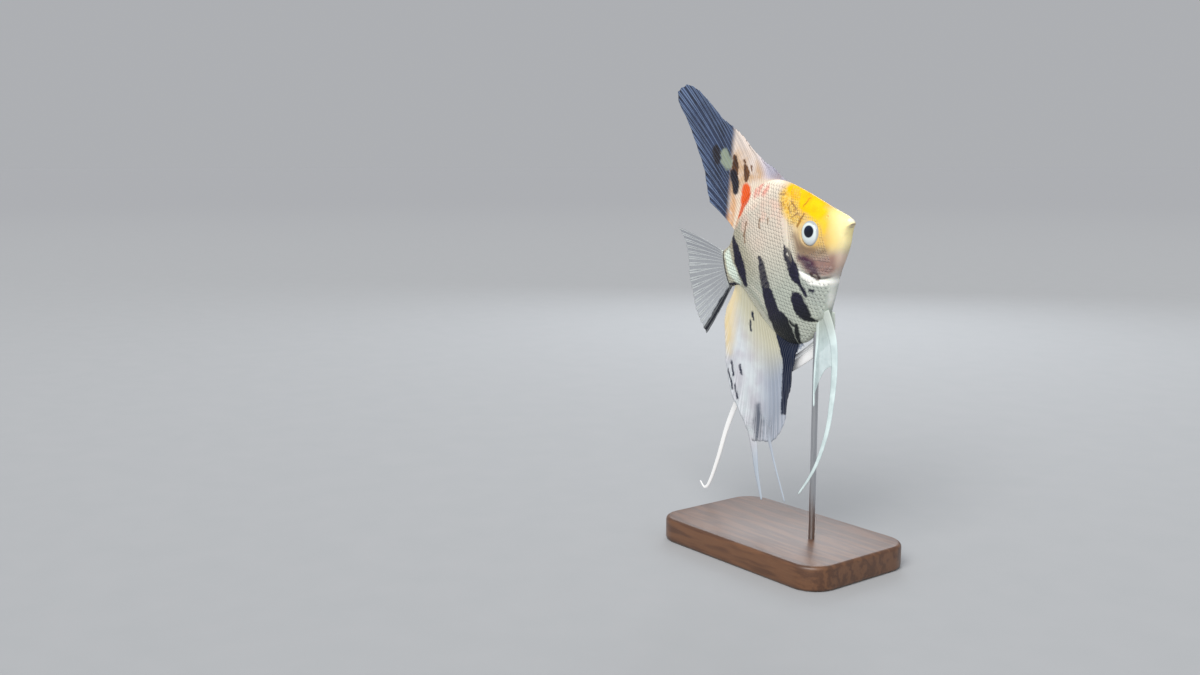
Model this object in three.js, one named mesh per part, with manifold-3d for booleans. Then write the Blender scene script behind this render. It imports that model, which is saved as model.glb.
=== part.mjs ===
// A life-size display model of a freshwater angelfish on a plain stand.
// Lengths are in millimetres. The fish is drawn level in its own frame: the origin is the middle of
// the tail stalk, +X runs to the snout, +Z to the dorsal fin, +Y to its left side. The whole fish is
// then tipped nose up and set over the stand. The model's origin is the middle of the base's underside.

import * as THREE from "three";
import { mergeVertices } from "three/addons/utils/BufferGeometryUtils.js";
import Module from "manifold-3d";

const wasm = await Module();
wasm.setup();

// ---------------------------------------------------------------- driving dimensions

const NOSE_UP = THREE.MathUtils.degToRad(18);
const TAIL_STALK_PLACE = new THREE.Vector3(-23.7, 0, 93.5);
const GAP = 0.3;

const STALK_END_X = -3.8;
const SNOUT_X = 55;
const BODY_STATIONS = 34;
const BODY_RING = 24;

// Height of the back and of the belly, half the body's width, and the level where it is widest,
// each as [distance ahead of the tail stalk, value].
const BACK = [[-3.8, 6.7], [0, 7.8], [3, 10.8], [6, 15.2], [11, 20.0], [17, 22.9], [23, 23.6],
  [27, 22.9], [31.5, 20.8], [38, 16.0], [43, 11.7], [47.8, 7.4], [51.6, 4.3], [54.0, 2.1], [55, 0.7]];
const BELLY = [[-3.8, -6.1], [1, -6.6], [3.5, -9.2], [6, -14.5], [10, -21.8], [15, -27.6],
  [20, -30.6], [25, -31.3], [31, -29.4], [35.8, -26.2], [38.9, -22.4], [42.1, -17.3], [44.4, -13.7],
  [47.8, -9.9], [50.7, -6.2], [52.1, -3.2], [53.5, -1.1], [55, -0.3]];
const HALF_WIDTH = [[-3.8, 1.4], [0, 2.0], [6, 3.2], [14, 4.5], [24, 5.4], [34, 5.6], [41, 5.1],
  [47, 4.0], [51.6, 2.7], [54, 1.7], [55, 0.9]];
const WIDEST_LEVEL = [[-3.8, 0.4], [6, 0], [20, -3.5], [34, -3], [44, -2], [51.6, -0.6], [55, 0.2]];
// How sharp the ridges of the back and belly are: 1 is round, more is keener.
const BACK_KEENNESS = [[-3.8, 0.9], [10, 1.3], [28, 1.35], [40, 1.05], [55, 0.8]];
const BELLY_KEENNESS = [[-3.8, 0.9], [10, 1.3], [22, 1.1], [34, 1.0], [55, 0.8]];

// The tail swings a little to the right.
const SWING_START_X = 14;
const SWING_END_X = -23.5;
const TAIL_SWING = 2.5;

// Lines that part the body, seen from the side.
const GILL_LINE = [[37, 32], [34, 19], [33, 10], [32, 3], [31.8, -3], [33, -8.5], [36.8, -11.2],
  [40.4, -13.5], [43.0, -13.8], [45.4, -13.0], [54, -7.5]];
const JAW_LINE = [[62, 0], [54.7, -0.1], [52.0, -1.7], [50.0, -4.2], [48.8, -7.4], [48.4, -16]];
const STALK_LINE = [[8.4, 32], [5.6, 12], [4.4, 2], [4.6, -6], [7.6, -34]];
const GILL_COVER_EDGE = [[33.7, 7.6], [35.3, 6.2], [36.0, 2], [36.5, -2], [38.3, -5.6],
  [41.5, -8.2], [44.2, -9.6], [45.8, -11.0], [46.0, -17], [38, -18], [26, -10], [26, 7.6]];
const GILL_COVER_DEPTH_Y = 2.2;
const LOWER_LIP_X = 54.4;

const EYE_PLACE = { x: 40.9, y: 3.1, z: 1.0 };
const EYE_RADIUS = 4.55;
const EYE_HALF_DEPTH = 2.7;
const EYE_FULLNESS = 0.5;

const FIN_ROOT_THICKNESS = 1.0;
const FIN_TIP_THICKNESS = 0.5;
const FIN_ROOT_SINK = 1.2;

// Fin edges, as [share of the way along the fin's base, x, z]; the base runs between two x places.
const DORSAL = {
  base: [31.2, 4.4], rays: 28, steps: 5, bow: 3.2, notch: 0.9, spines: 0.5,
  edge: [[0, 31.0, 21.6], [0.1, 27.6, 26.0], [0.2, 23.9, 29.6], [0.28, 21.2, 33.0],
    [0.36, 18.4, 37.6], [0.44, 15.0, 43.2], [0.5, 12.8, 45.8], [0.54, 9.0, 49.6],
    [0.58, 4.6, 57.2], [0.63, -0.2, 63.8], [0.68, -4.9, 67.0], [0.73, -8.8, 66.2],
    [0.77, -9.6, 62.4], [0.82, -7.6, 55], [0.87, -5.4, 45], [0.92, -4.4, 36.4],
    [0.96, -4.9, 29.6], [1, -4.6, 24.4]],
};
const ANAL = {
  base: [23.6, -0.2], rays: 28, steps: 5, bow: -3.0, notch: 0.8, spines: 0.3,
  edge: [[0, 23.8, -32.2], [0.1, 19.4, -34.4], [0.2, 16.7, -39.0], [0.3, 14.4, -43.7],
    [0.38, 12.2, -47.8], [0.44, 9.8, -52.0], [0.5, 8.0, -55.4], [0.55, 4.6, -58.6],
    [0.6, 0.4, -60.2], [0.66, -3.5, -59.4], [0.71, -7.4, -58.4], [0.76, -9.2, -54.5],
    [0.81, -11.0, -47], [0.85, -12.5, -40], [0.89, -12.4, -31.5], [0.93, -10.8, -23],
    [0.965, -9.0, -16.8], [1, -6.2, -11.8]],
};
const CAUDAL_BASE = { x: -2.4, top: 6.0, bottom: -5.4 };
const CAUDAL = {
  rays: 14, steps: 4, bow: 0.8,
  edge: [[0, -21.4, 20.2], [0.17, -19.4, 13.5], [0.36, -20.0, 7], [0.52, -21.0, 0],
    [0.68, -21.0, -7], [0.85, -20.2, -13.6], [1, -18.2, -19.0]],
};
const PECTORAL = {
  x: 31.6, top: -0.9, bottom: -5.2, rays: 8, steps: 3, bow: 0.6, stand_off: 0.36, flank: 5.0,
  edge: [[0, 20.0, 0.8], [0.25, 17.6, -3.4], [0.5, 18.0, -8.0], [0.75, 21.4, -11.8], [1, 25.8, -12.6]],
};

// Streamers: points down the middle, and the width at the start, the middle and the tip.
const ANAL_STREAMERS = [
  { route: [[3, -50], [0.4, -58], [0.2, -63], [0.4, -69], [1.3, -80.3]], widths: [3.2, 1.1, 0.55] },
  { route: [[-6.6, -50], [-7.0, -57], [-7.4, -62], [-8.4, -69], [-8.8, -78.6]], widths: [4.0, 2.9, 0.8] },
];
const PELVIC_BASE = { x: 36.4, z: -25.2, y: 1.5 };
const PELVIC_SPLAY = 0.1;
const RIGHT_PELVIC = {
  lead: { route: [[37.2, -23.5], [38.6, -31], [38.5, -37], [36.9, -44.5], [34.4, -52], [31.0, -60],
    [25.6, -68.2], [20.4, -73.6], [14.8, -78]], widths: [3.4, 2.3, 0.6] },
  rear: { route: [[34.2, -23.5], [32.2, -31.4], [30.0, -38.4], [28.0, -45.8], [26.8, -51.6]],
    widths: [1.6, 0.9, 0.55] },
  web: [[37.6, -24.4], [38.6, -32], [37.8, -40.5], [32.6, -41.4], [28.2, -47.4], [30.4, -37.4],
    [32.6, -30.4], [34.4, -24.4]],
};
const LEFT_PELVIC = {
  lead: { route: [[37.0, -23.5], [34.0, -30.2], [25, -34.6], [10, -38.2], [-4, -40.2], [-14.2, -43.4],
    [-23.8, -51.6], [-33.2, -62], [-41.2, -70.0], [-44.9, -71.8], [-46.3, -69.2]],
  widths: [3.4, 2.5, 0.6] },
  rear: { route: [[34.2, -23.5], [29.6, -29.9], [22, -33.0], [13, -34.9], [5, -36.0]],
    widths: [1.6, 0.9, 0.55] },
  web: [[37.2, -24.4], [33.9, -30.4], [25, -34.7], [15, -37.1], [11.6, -36.4], [5.6, -36.0],
    [13, -34.8], [22, -32.9], [29.4, -29.8], [34.4, -24.4]],
};
const PELVIC_THICKNESS = 0.55;

const BASE_LENGTH = 74;
const BASE_WIDTH = 46;
const BASE_CORNER = 9;
const BASE_HEIGHT = 8;
const BASE_CHAMFER = 1.2;
const ROD_RADIUS = 1.0;
const ROD_X = 14.4;
const ROD_FOOT_Z = 2.3;
const ROD_IN_BODY = 4.2;

// ---------------------------------------------------------------- small helpers

// A smooth function through [place, value] pairs that never overshoots them.
function curveThrough(pairs) {
  const slopes = pairs.slice(1).map((pair, i) => (pair[1] - pairs[i][1]) / (pair[0] - pairs[i][0]));
  const tangents = pairs.map((_, i) => {
    if (i === 0) return slopes[0];
    if (i === pairs.length - 1) return slopes[slopes.length - 1];
    const [before, after] = [slopes[i - 1], slopes[i]];
    return before * after <= 0 ? 0 : (2 * before * after) / (before + after);
  });
  return (place) => {
    let i = 0;
    while (i < pairs.length - 2 && place > pairs[i + 1][0]) i += 1;
    const span = pairs[i + 1][0] - pairs[i][0];
    const t = THREE.MathUtils.clamp((place - pairs[i][0]) / span, 0, 1);
    const rise = pairs[i + 1][1] - pairs[i][1];
    return pairs[i][1] + t * t * (3 - 2 * t) * rise
      + span * (t * (1 - t) * (1 - t) * tangents[i] - t * t * (1 - t) * tangents[i + 1]);
  };
}

function swing(x) {
  const share = THREE.MathUtils.clamp((SWING_START_X - x) / (SWING_START_X - SWING_END_X), 0, 1.1);
  return -TAIL_SWING * share * share;
}

// Six times the volume that the triangles close in, negative where they face inwards.
function signedVolume(vertices, triangles) {
  return triangles.reduce((sum, corners) => {
    const [a, b, c] = corners.map((i) => new THREE.Vector3(...vertices[i]));
    return sum + a.dot(b.cross(c));
  }, 0);
}

// A closed geometry from vertices and triangles, faced outwards.
function geometryFrom(vertices, triangles) {
  const outward = signedVolume(vertices, triangles) > 0;
  const faced = outward ? triangles : triangles.map(([a, b, c]) => [a, c, b]);
  const geometry = new THREE.BufferGeometry();
  geometry.setAttribute("position", new THREE.Float32BufferAttribute(vertices.flat(), 3));
  geometry.setIndex(faced.flat());
  return geometry;
}

function toSolid(geometry) {
  const bare = geometry.clone();
  bare.deleteAttribute("normal");
  bare.deleteAttribute("uv");
  const merged = mergeVertices(bare, 1e-4);
  return new wasm.Manifold(new wasm.Mesh({
    numProp: 3,
    vertProperties: new Float32Array(merged.attributes.position.array),
    triVerts: new Uint32Array(merged.index.array),
  }));
}

function toGeometry(solid) {
  const mesh = solid.getMesh();
  const geometry = new THREE.BufferGeometry();
  geometry.setAttribute("position", new THREE.BufferAttribute(new Float32Array(mesh.vertProperties), 3));
  geometry.setIndex(new THREE.BufferAttribute(new Uint32Array(mesh.triVerts), 1));
  geometry.computeVertexNormals();
  return geometry;
}

// An outline drawn in side view, made as thick as from one y to another.
function slab(outline, fromY, toY) {
  const shape = new THREE.Shape(outline.map(([x, z]) => new THREE.Vector2(x, z)));
  const geometry = new THREE.ExtrudeGeometry(shape, { depth: toY - fromY, bevelEnabled: false });
  geometry.rotateX(Math.PI / 2);
  geometry.translate(0, toY, 0);
  return toSolid(geometry);
}

// A line moved sideways by a distance, to its right as it is walked.
function beside(line, distance) {
  return line.map(([x, z], i) => {
    const [ax, az] = line[Math.max(i - 1, 0)];
    const [bx, bz] = line[Math.min(i + 1, line.length - 1)];
    const length = Math.hypot(bx - ax, bz - az);
    return [x + ((bz - az) / length) * distance, z - ((bx - ax) / length) * distance];
  });
}

// ---------------------------------------------------------------- body

const backAt = curveThrough(BACK);
const bellyAt = curveThrough(BELLY);
const halfWidthAt = curveThrough(HALF_WIDTH);
const widestLevelAt = curveThrough(WIDEST_LEVEL);
const backKeennessAt = curveThrough(BACK_KEENNESS);
const bellyKeennessAt = curveThrough(BELLY_KEENNESS);

// A point of the body's ring at x, where the turn starts at the back; swell grows it all round.
function bodyPoint(x, turn, swell) {
  const level = widestLevelAt(x);
  const up = Math.cos(turn);
  const side = Math.sin(turn);
  const reach = up >= 0 ? backAt(x) - level + swell : level - bellyAt(x) + swell;
  const keenness = up >= 0 ? backKeennessAt(x) : bellyKeennessAt(x);
  const across = Math.sign(side) * Math.abs(side) ** keenness;
  return [x, (halfWidthAt(x) + swell) * across + swing(x), level + reach * up];
}

function bodySolid(swell) {
  const vertices = [];
  const triangles = [];
  for (let i = 0; i <= BODY_STATIONS; i += 1) {
    const share = 0.5 - 0.5 * Math.cos((Math.PI * i) / BODY_STATIONS);
    const x = STALK_END_X + share * (SNOUT_X - STALK_END_X);
    const shift = i === 0 ? -swell : i === BODY_STATIONS ? swell : 0;
    for (let j = 0; j < BODY_RING; j += 1) {
      const [, y, z] = bodyPoint(x, (2 * Math.PI * j) / BODY_RING, swell);
      vertices.push([x + shift, y, z]);
    }
  }
  for (let i = 0; i < BODY_STATIONS; i += 1) {
    for (let j = 0; j < BODY_RING; j += 1) {
      const a = i * BODY_RING + j;
      const b = i * BODY_RING + ((j + 1) % BODY_RING);
      triangles.push([a, a + BODY_RING, b], [b, a + BODY_RING, b + BODY_RING]);
    }
  }
  for (const [ring, turnedOut] of [[0, false], [BODY_STATIONS, true]]) {
    const first = ring * BODY_RING;
    const middle = vertices.length;
    const rim = vertices.slice(first, first + BODY_RING);
    const centre = [0, 1, 2].map((k) => rim.reduce((sum, point) => sum + point[k], 0) / BODY_RING);
    vertices.push(centre);
    for (let j = 0; j < BODY_RING; j += 1) {
      const a = first + j;
      const b = first + ((j + 1) % BODY_RING);
      triangles.push(turnedOut ? [a, middle, b] : [a, b, middle]);
    }
  }
  return toSolid(geometryFrom(vertices, triangles));
}

const wholeBody = bodySolid(0);
const bodyWithGap = bodySolid(GAP);

// ---------------------------------------------------------------- eyes

// A shallow drum with a domed face: its radius keeps nearly full until close to the two ends.
function eyeSolid(side, swell) {
  const profile = [];
  const steps = 10;
  for (let i = 0; i <= steps; i += 1) {
    const angle = -Math.PI / 2 + (Math.PI * i) / steps;
    const radius = i === 0 || i === steps ? 0 : (EYE_RADIUS + swell) * Math.cos(angle) ** EYE_FULLNESS;
    profile.push(new THREE.Vector2(radius, (EYE_HALF_DEPTH + swell) * Math.sin(angle)));
  }
  const geometry = new THREE.LatheGeometry(profile, 20);
  geometry.translate(EYE_PLACE.x, side * EYE_PLACE.y, EYE_PLACE.z);
  return toSolid(geometry);
}

// ---------------------------------------------------------------- fins

function along(pairs, column) {
  return curveThrough(pairs.map((row) => [row[0], row[column]]));
}

// A thin closed sheet of rays: root(u) and tip(u) give each ray's ends in side view, bow curves it,
// lie(x, z) gives how far the sheet stands to the left.
function raySheet({ rays, steps, root, tip, bow, lie }) {
  const vertices = [];
  const triangles = [];
  const columns = rays + 1;
  const rows = steps + 1;
  for (const face of [-1, 1]) {
    for (let i = 0; i < columns; i += 1) {
      const u = i / rays;
      const from = root(u);
      const to = tip(u, i);
      const length = Math.hypot(to[0] - from[0], to[1] - from[1]);
      const push = bow(u);
      const bend = [
        (from[0] + to[0]) / 2 - ((to[1] - from[1]) / length) * push,
        (from[1] + to[1]) / 2 + ((to[0] - from[0]) / length) * push,
      ];
      for (let j = 0; j < rows; j += 1) {
        const v = j / steps;
        const [x, z] = [0, 1].map((k) => (1 - v) ** 2 * from[k] + 2 * v * (1 - v) * bend[k] + v * v * to[k]);
        const thickness = THREE.MathUtils.lerp(FIN_ROOT_THICKNESS, FIN_TIP_THICKNESS, Math.sqrt(v));
        vertices.push([x, lie(x, z) + (face * thickness) / 2, z]);
      }
    }
  }
  const half = columns * rows;
  const quad = (a, b, c, d) => triangles.push([a, b, c], [a, c, d]);
  for (let i = 0; i < columns - 1; i += 1) {
    for (let j = 0; j < rows - 1; j += 1) {
      const a = i * rows + j;
      quad(a, a + 1, a + rows + 1, a + rows);
      quad(half + a, half + a + rows, half + a + rows + 1, half + a + 1);
    }
  }
  for (let i = 0; i < columns - 1; i += 1) {
    const low = i * rows;
    const high = low + steps;
    quad(low, low + rows, half + low + rows, half + low);
    quad(high, half + high, half + high + rows, high + rows);
  }
  for (let j = 0; j < rows - 1; j += 1) {
    const last = (columns - 1) * rows;
    quad(j, half + j, half + j + 1, j + 1);
    quad(last + j, last + j + 1, half + last + j + 1, half + last + j);
  }
  return toSolid(geometryFrom(vertices, triangles));
}

function medianFin({ base, rays, steps, bow, notch, spines, edge }, contour, sink) {
  const edgeX = along(edge, 1);
  const edgeZ = along(edge, 2);
  return raySheet({
    rays,
    steps,
    root: (u) => {
      const x = THREE.MathUtils.lerp(base[0], base[1], u);
      return [x, contour(x) - sink];
    },
    tip: (u, i) => {
      const dip = u < spines && i % 2 === 1 ? notch : 0;
      return [edgeX(u) - dip * 0.3, edgeZ(u) - Math.sign(sink) * dip];
    },
    bow: (u) => -bow * Math.sin(Math.PI * Math.min(u, 0.95)),
    lie: swing,
  });
}

// A flat streamer along a route in side view, with the width falling from its start to its tip.
function streamer({ route, widths }, lie, thickness) {
  const curve = new THREE.CatmullRomCurve3(route.map(([x, z]) => new THREE.Vector3(x, 0, z)));
  const steps = 3 * (route.length - 1);
  const widthAt = curveThrough([[0, widths[0]], [0.4, widths[1]], [1, widths[2]]]);
  const vertices = [];
  const triangles = [];
  for (let i = 0; i <= steps; i += 1) {
    const share = i / steps;
    const point = curve.getPoint(share);
    const heading = curve.getTangent(share);
    const half = widthAt(share) / 2;
    const y = lie(point.x, point.z);
    for (const [across, face] of [[-1, -1], [1, -1], [1, 1], [-1, 1]]) {
      vertices.push([
        point.x - heading.z * half * across,
        y + (face * thickness) / 2,
        point.z + heading.x * half * across,
      ]);
    }
  }
  for (let i = 0; i < steps; i += 1) {
    for (let k = 0; k < 4; k += 1) {
      const a = 4 * i + k;
      const b = 4 * i + ((k + 1) % 4);
      triangles.push([a, b, b + 4], [a, b + 4, a + 4]);
    }
  }
  const end = 4 * steps;
  triangles.push([0, 2, 1], [0, 3, 2], [end, end + 1, end + 2], [end, end + 2, end + 3]);
  return toSolid(geometryFrom(vertices, triangles));
}

function pelvicSolid({ lead, rear, web }, side) {
  const lie = (x, z) => side * (PELVIC_BASE.y + PELVIC_SPLAY * Math.max(PELVIC_BASE.z - z, 0));
  const geometry = new THREE.ExtrudeGeometry(
    new THREE.Shape(web.map(([x, z]) => new THREE.Vector2(x, z))),
    { depth: PELVIC_THICKNESS - 0.05, bevelEnabled: false },
  );
  geometry.rotateX(Math.PI / 2);
  geometry.translate(0, (PELVIC_THICKNESS - 0.05) / 2, 0);
  const place = geometry.attributes.position;
  for (let i = 0; i < place.count; i += 1) place.setY(i, place.getY(i) + lie(place.getX(i), place.getZ(i)));
  return toSolid(geometry)
    .add(streamer(lead, lie, PELVIC_THICKNESS))
    .add(streamer(rear, lie, PELVIC_THICKNESS))
    .subtract(bodyWithGap);
}

const backFin = medianFin(DORSAL, backAt, FIN_ROOT_SINK).subtract(bodyWithGap);
let bellyFin = medianFin(ANAL, bellyAt, -FIN_ROOT_SINK);
for (const strip of ANAL_STREAMERS) bellyFin = bellyFin.add(streamer(strip, swing, FIN_TIP_THICKNESS + 0.05));
bellyFin = bellyFin.subtract(bodyWithGap);

const caudalX = along(CAUDAL.edge, 1);
const caudalZ = along(CAUDAL.edge, 2);
const tailFin = raySheet({
  rays: CAUDAL.rays,
  steps: CAUDAL.steps,
  root: (u) => [CAUDAL_BASE.x, THREE.MathUtils.lerp(CAUDAL_BASE.top, CAUDAL_BASE.bottom, u)],
  tip: (u) => [caudalX(u), caudalZ(u)],
  bow: (u) => CAUDAL.bow * (2 * u - 1),
  lie: swing,
}).subtract(bodyWithGap);

function pectoralSolid(side) {
  const edgeX = along(PECTORAL.edge, 1);
  const edgeZ = along(PECTORAL.edge, 2);
  return raySheet({
    rays: PECTORAL.rays,
    steps: PECTORAL.steps,
    root: (u) => [PECTORAL.x, THREE.MathUtils.lerp(PECTORAL.top, PECTORAL.bottom, u)],
    tip: (u) => [edgeX(u), edgeZ(u)],
    bow: (u) => PECTORAL.bow * (2 * u - 1),
    lie: (x) => side * (PECTORAL.flank + PECTORAL.stand_off * (PECTORAL.x - x)),
  }).subtract(bodyWithGap);
}

// ---------------------------------------------------------------- stand

const tipUp = new THREE.Matrix4().makeRotationY(-NOSE_UP).setPosition(TAIL_STALK_PLACE);

function uprightRod(radius, fromZ, toZ) {
  const geometry = new THREE.CylinderGeometry(radius, radius, toZ - fromZ, 20);
  geometry.rotateX(Math.PI / 2);
  geometry.translate(ROD_X, 0, (fromZ + toZ) / 2);
  return geometry;
}

// Height of the belly over the rod: the body's low line, tipped with the fish, where it meets ROD_X.
function bellyHeightOverRod() {
  let x = SNOUT_X;
  const point = new THREE.Vector3();
  do {
    x -= 0.05;
    point.set(x, 0, bellyAt(x)).applyMatrix4(tipUp);
  } while (point.x > ROD_X);
  return point.z;
}

const rodTop = bellyHeightOverRod() + ROD_IN_BODY;

function inFishFrame(geometry) {
  return toSolid(geometry.clone().applyMatrix4(tipUp.clone().invert()));
}

const rodHole = inFishFrame(uprightRod(ROD_RADIUS + GAP, BASE_HEIGHT, rodTop + GAP));

function baseSolid() {
  const [halfLength, halfWidth, corner] = [BASE_LENGTH / 2, BASE_WIDTH / 2, BASE_CORNER];
  const shape = new THREE.Shape();
  const corners = [[1, 1, 0], [-1, 1, 0.5], [-1, -1, 1], [1, -1, 1.5]];
  for (const [sx, sy, start] of corners) {
    shape.absarc(
      sx * (halfLength - corner),
      sy * (halfWidth - corner),
      corner,
      start * Math.PI,
      (start + 0.5) * Math.PI,
      false,
    );
  }
  shape.closePath();
  const geometry = new THREE.ExtrudeGeometry(shape, {
    depth: BASE_HEIGHT - 2 * BASE_CHAMFER,
    bevelThickness: BASE_CHAMFER,
    bevelSize: BASE_CHAMFER,
    bevelOffset: -BASE_CHAMFER,
    bevelSegments: 1,
    curveSegments: 6,
  });
  geometry.translate(0, 0, BASE_CHAMFER);
  return toSolid(geometry).subtract(
    toSolid(uprightRod(ROD_RADIUS + GAP, ROD_FOOT_Z - GAP, BASE_HEIGHT + GAP)),
  );
}

// ---------------------------------------------------------------- parting the body

const FAR = 90;
const DEEP = 30;
const headRegion = slab([...beside(GILL_LINE, -GAP / 2), [FAR, -7], [FAR, 40]].reverse(), -DEEP, DEEP);
const restRegion = slab([...beside(GILL_LINE, GAP / 2), [FAR, -7], [FAR, -FAR], [-FAR, -FAR], [-FAR, FAR],
  [37, FAR]], -DEEP, DEEP);
const jawRegion = slab([...beside(JAW_LINE, -GAP / 2), [FAR, -16], [FAR, 0]], -DEEP, DEEP);
const jawFront = slab([[LOWER_LIP_X, 5], [LOWER_LIP_X, -30], [FAR, -30], [FAR, 5]], -DEEP, DEEP);
const skullRegion = slab([...beside(JAW_LINE, GAP / 2), [50.2, -40], [0, -40], [0, 40], [FAR, 40]],
  -DEEP, DEEP);
const stalkRegion = slab([...beside(STALK_LINE, GAP / 2), [-FAR, -40], [-FAR, 40]], -DEEP, DEEP);
const trunkRegion = slab([...beside(STALK_LINE, -GAP / 2), [FAR, -40], [FAR, 40]].reverse(), -DEEP, DEEP);

const headAndJaw = wholeBody.intersect(headRegion);
const rest = wholeBody.intersect(restRegion);
const lowerJaw = headAndJaw.intersect(jawRegion).subtract(jawFront);
let skull = headAndJaw.intersect(skullRegion);
const sides = { right: -1, left: 1 };
const gillCovers = {};
for (const [name, side] of Object.entries(sides)) {
  const [near, far] = [GILL_COVER_DEPTH_Y, DEEP].map((y) => side * y).sort((a, b) => a - b);
  const cover = slab(GILL_COVER_EDGE, near, far);
  const recess = slab(
    beside([...GILL_COVER_EDGE, GILL_COVER_EDGE[0]], -GAP).slice(0, -1),
    side > 0 ? near - GAP : near,
    side > 0 ? far : far + GAP,
  );
  gillCovers[name] = skull.intersect(cover);
  skull = skull.subtract(recess);
}
for (const side of Object.values(sides)) skull = skull.subtract(eyeSolid(side, GAP));
for (const name of Object.keys(sides)) gillCovers[name] = gillCovers[name].subtract(eyeSolid(sides[name], GAP));
const trunk = rest.intersect(trunkRegion).subtract(rodHole);
const tailStalk = rest.intersect(stalkRegion);

// ---------------------------------------------------------------- scene graph

const looks = {
  head: { color: 0xe8c45a, roughness: 0.45 },
  lips: { color: 0xf2ece0, roughness: 0.45 },
  gillCover: { color: 0xc9a3a8, roughness: 0.4 },
  body: { color: 0xdcdccb, roughness: 0.4, metalness: 0.1 },
  eye: { color: 0xf4f6fa, roughness: 0.15 },
  clearFin: { color: 0x9fb0c4, roughness: 0.4, transparent: true, opacity: 0.6 },
  paleFin: { color: 0xdde0e8, roughness: 0.4, transparent: true, opacity: 0.8 },
  wood: { color: 0x6b4429, roughness: 0.5 },
  steel: { color: 0xb9bcc0, roughness: 0.25, metalness: 1 },
};

function named(name, geometry, look) {
  const mesh = new THREE.Mesh(geometry, new THREE.MeshStandardMaterial(looks[look]));
  mesh.name = name;
  return mesh;
}

const fish = new THREE.Group();
fish.rotation.y = -NOSE_UP;
fish.position.copy(TAIL_STALK_PLACE);
fish.add(
  named("head", toGeometry(skull), "head"),
  named("lower_jaw", toGeometry(lowerJaw), "lips"),
  named("trunk", toGeometry(trunk), "body"),
  named("tail_stalk", toGeometry(tailStalk), "body"),
  named("dorsal_fin", toGeometry(backFin), "clearFin"),
  named("anal_fin", toGeometry(bellyFin), "paleFin"),
  named("caudal_fin", toGeometry(tailFin), "clearFin"),
);
const pelvics = { right: RIGHT_PELVIC, left: LEFT_PELVIC };
for (const [name, side] of Object.entries(sides)) {
  fish.add(
    named(`gill_cover_${name}`, toGeometry(gillCovers[name]), "gillCover"),
    named(`eye_${name}`, toGeometry(eyeSolid(side, 0)), "eye"),
    named(`pectoral_fin_${name}`, toGeometry(pectoralSolid(side)), "clearFin"),
    named(`pelvic_fin_${name}`, toGeometry(pelvicSolid(pelvics[name], side)), "paleFin"),
  );
}

const model = new THREE.Group();
model.add(
  fish,
  named("stand_base", toGeometry(baseSolid()), "wood"),
  named("stand_rod", uprightRod(ROD_RADIUS, ROD_FOOT_Z, rodTop), "steel"),
);

export default model;
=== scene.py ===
"""A life-size display model of a freshwater angelfish on a plain stand, dressed over its solids.

The fish's own frame is in millimetres: the origin is the middle of the tail stalk, x runs to the
snout, z to the dorsal fin and y to the fish's left side. to_row() tips it nose up over the stand.
"""

import math

import bpy
import numpy as np
from mathutils import Matrix, Vector


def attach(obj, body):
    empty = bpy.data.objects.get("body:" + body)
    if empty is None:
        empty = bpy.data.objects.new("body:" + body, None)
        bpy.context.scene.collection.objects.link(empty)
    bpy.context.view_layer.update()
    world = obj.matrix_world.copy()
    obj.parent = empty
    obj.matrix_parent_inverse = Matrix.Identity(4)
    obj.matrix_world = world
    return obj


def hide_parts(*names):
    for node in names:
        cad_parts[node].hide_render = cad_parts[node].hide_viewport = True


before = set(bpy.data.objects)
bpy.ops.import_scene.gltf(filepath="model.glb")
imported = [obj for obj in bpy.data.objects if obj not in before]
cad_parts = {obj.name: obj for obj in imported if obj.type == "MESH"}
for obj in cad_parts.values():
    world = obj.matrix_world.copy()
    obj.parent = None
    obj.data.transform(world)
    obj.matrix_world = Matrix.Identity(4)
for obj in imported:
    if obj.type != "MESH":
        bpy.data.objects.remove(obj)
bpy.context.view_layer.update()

# ---------------- sizes and outlines, the same as those of the solids or close to them

MM = 0.001
NOSE_UP = math.radians(18)
TAIL_STALK_PLACE = (-23.7, 0.0, 93.5)
BACK = [
    (-3.8, 6.7), (0, 7.8), (3, 10.8), (6, 15.2), (11, 20), (17, 22.9), (23, 23.6), (27, 22.9),
    (31.5, 20.8), (38, 16), (43, 11.7), (47.8, 7.4), (51.6, 4.3), (54, 2.1), (55, 0.7)
]
BELLY = [
    (-3.8, -6.1), (1, -6.6), (3.5, -9.2), (6, -14.5), (10, -21.8), (15, -27.6), (20, -30.6), (25, -31.3),
    (31, -29.4), (35.8, -26.2), (38.9, -22.4), (42.1, -17.3), (44.4, -13.7), (47.8, -9.9), (50.7, -6.2),
    (52.1, -3.2), (53.5, -1.1), (55, -0.3)
]
HALF_WIDTH = [
    (-3.8, 1.4), (0, 2), (6, 3.2), (14, 4.5), (24, 5.4), (34, 5.6), (41, 5.1), (47, 4), (51.6, 2.7),
    (54, 1.7), (55, 0.9)
]
WIDEST_LEVEL = [(-3.8, 0.4), (6, 0), (20, -3.5), (34, -3), (44, -2), (51.6, -0.6), (55, 0.2)]
BACK_KEENNESS = [(-3.8, 0.9), (10, 1.3), (28, 1.35), (40, 1.05), (55, 0.8)]
BELLY_KEENNESS = [(-3.8, 0.9), (10, 1.3), (22, 1.1), (34, 1), (55, 0.8)]
SWING_START_X, SWING_END_X, TAIL_SWING = 14, -23.5, 2.5
GILL_LINE = [
    (33.6, 12.5), (33, 10), (32, 3), (31.8, -3), (33, -8.5), (36.8, -11.2), (40.4, -13.5), (43, -13.8),
    (45.4, -13), (50, -10.1)
]
EYE_X, EYE_Y, EYE_Z = 40.55, 3.1, 0.85
EYE_RADIUS, EYE_HALF_DEPTH, EYE_FULLNESS, EYE_NARROW = 4.4, 2.5, 0.58, 0.88
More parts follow.
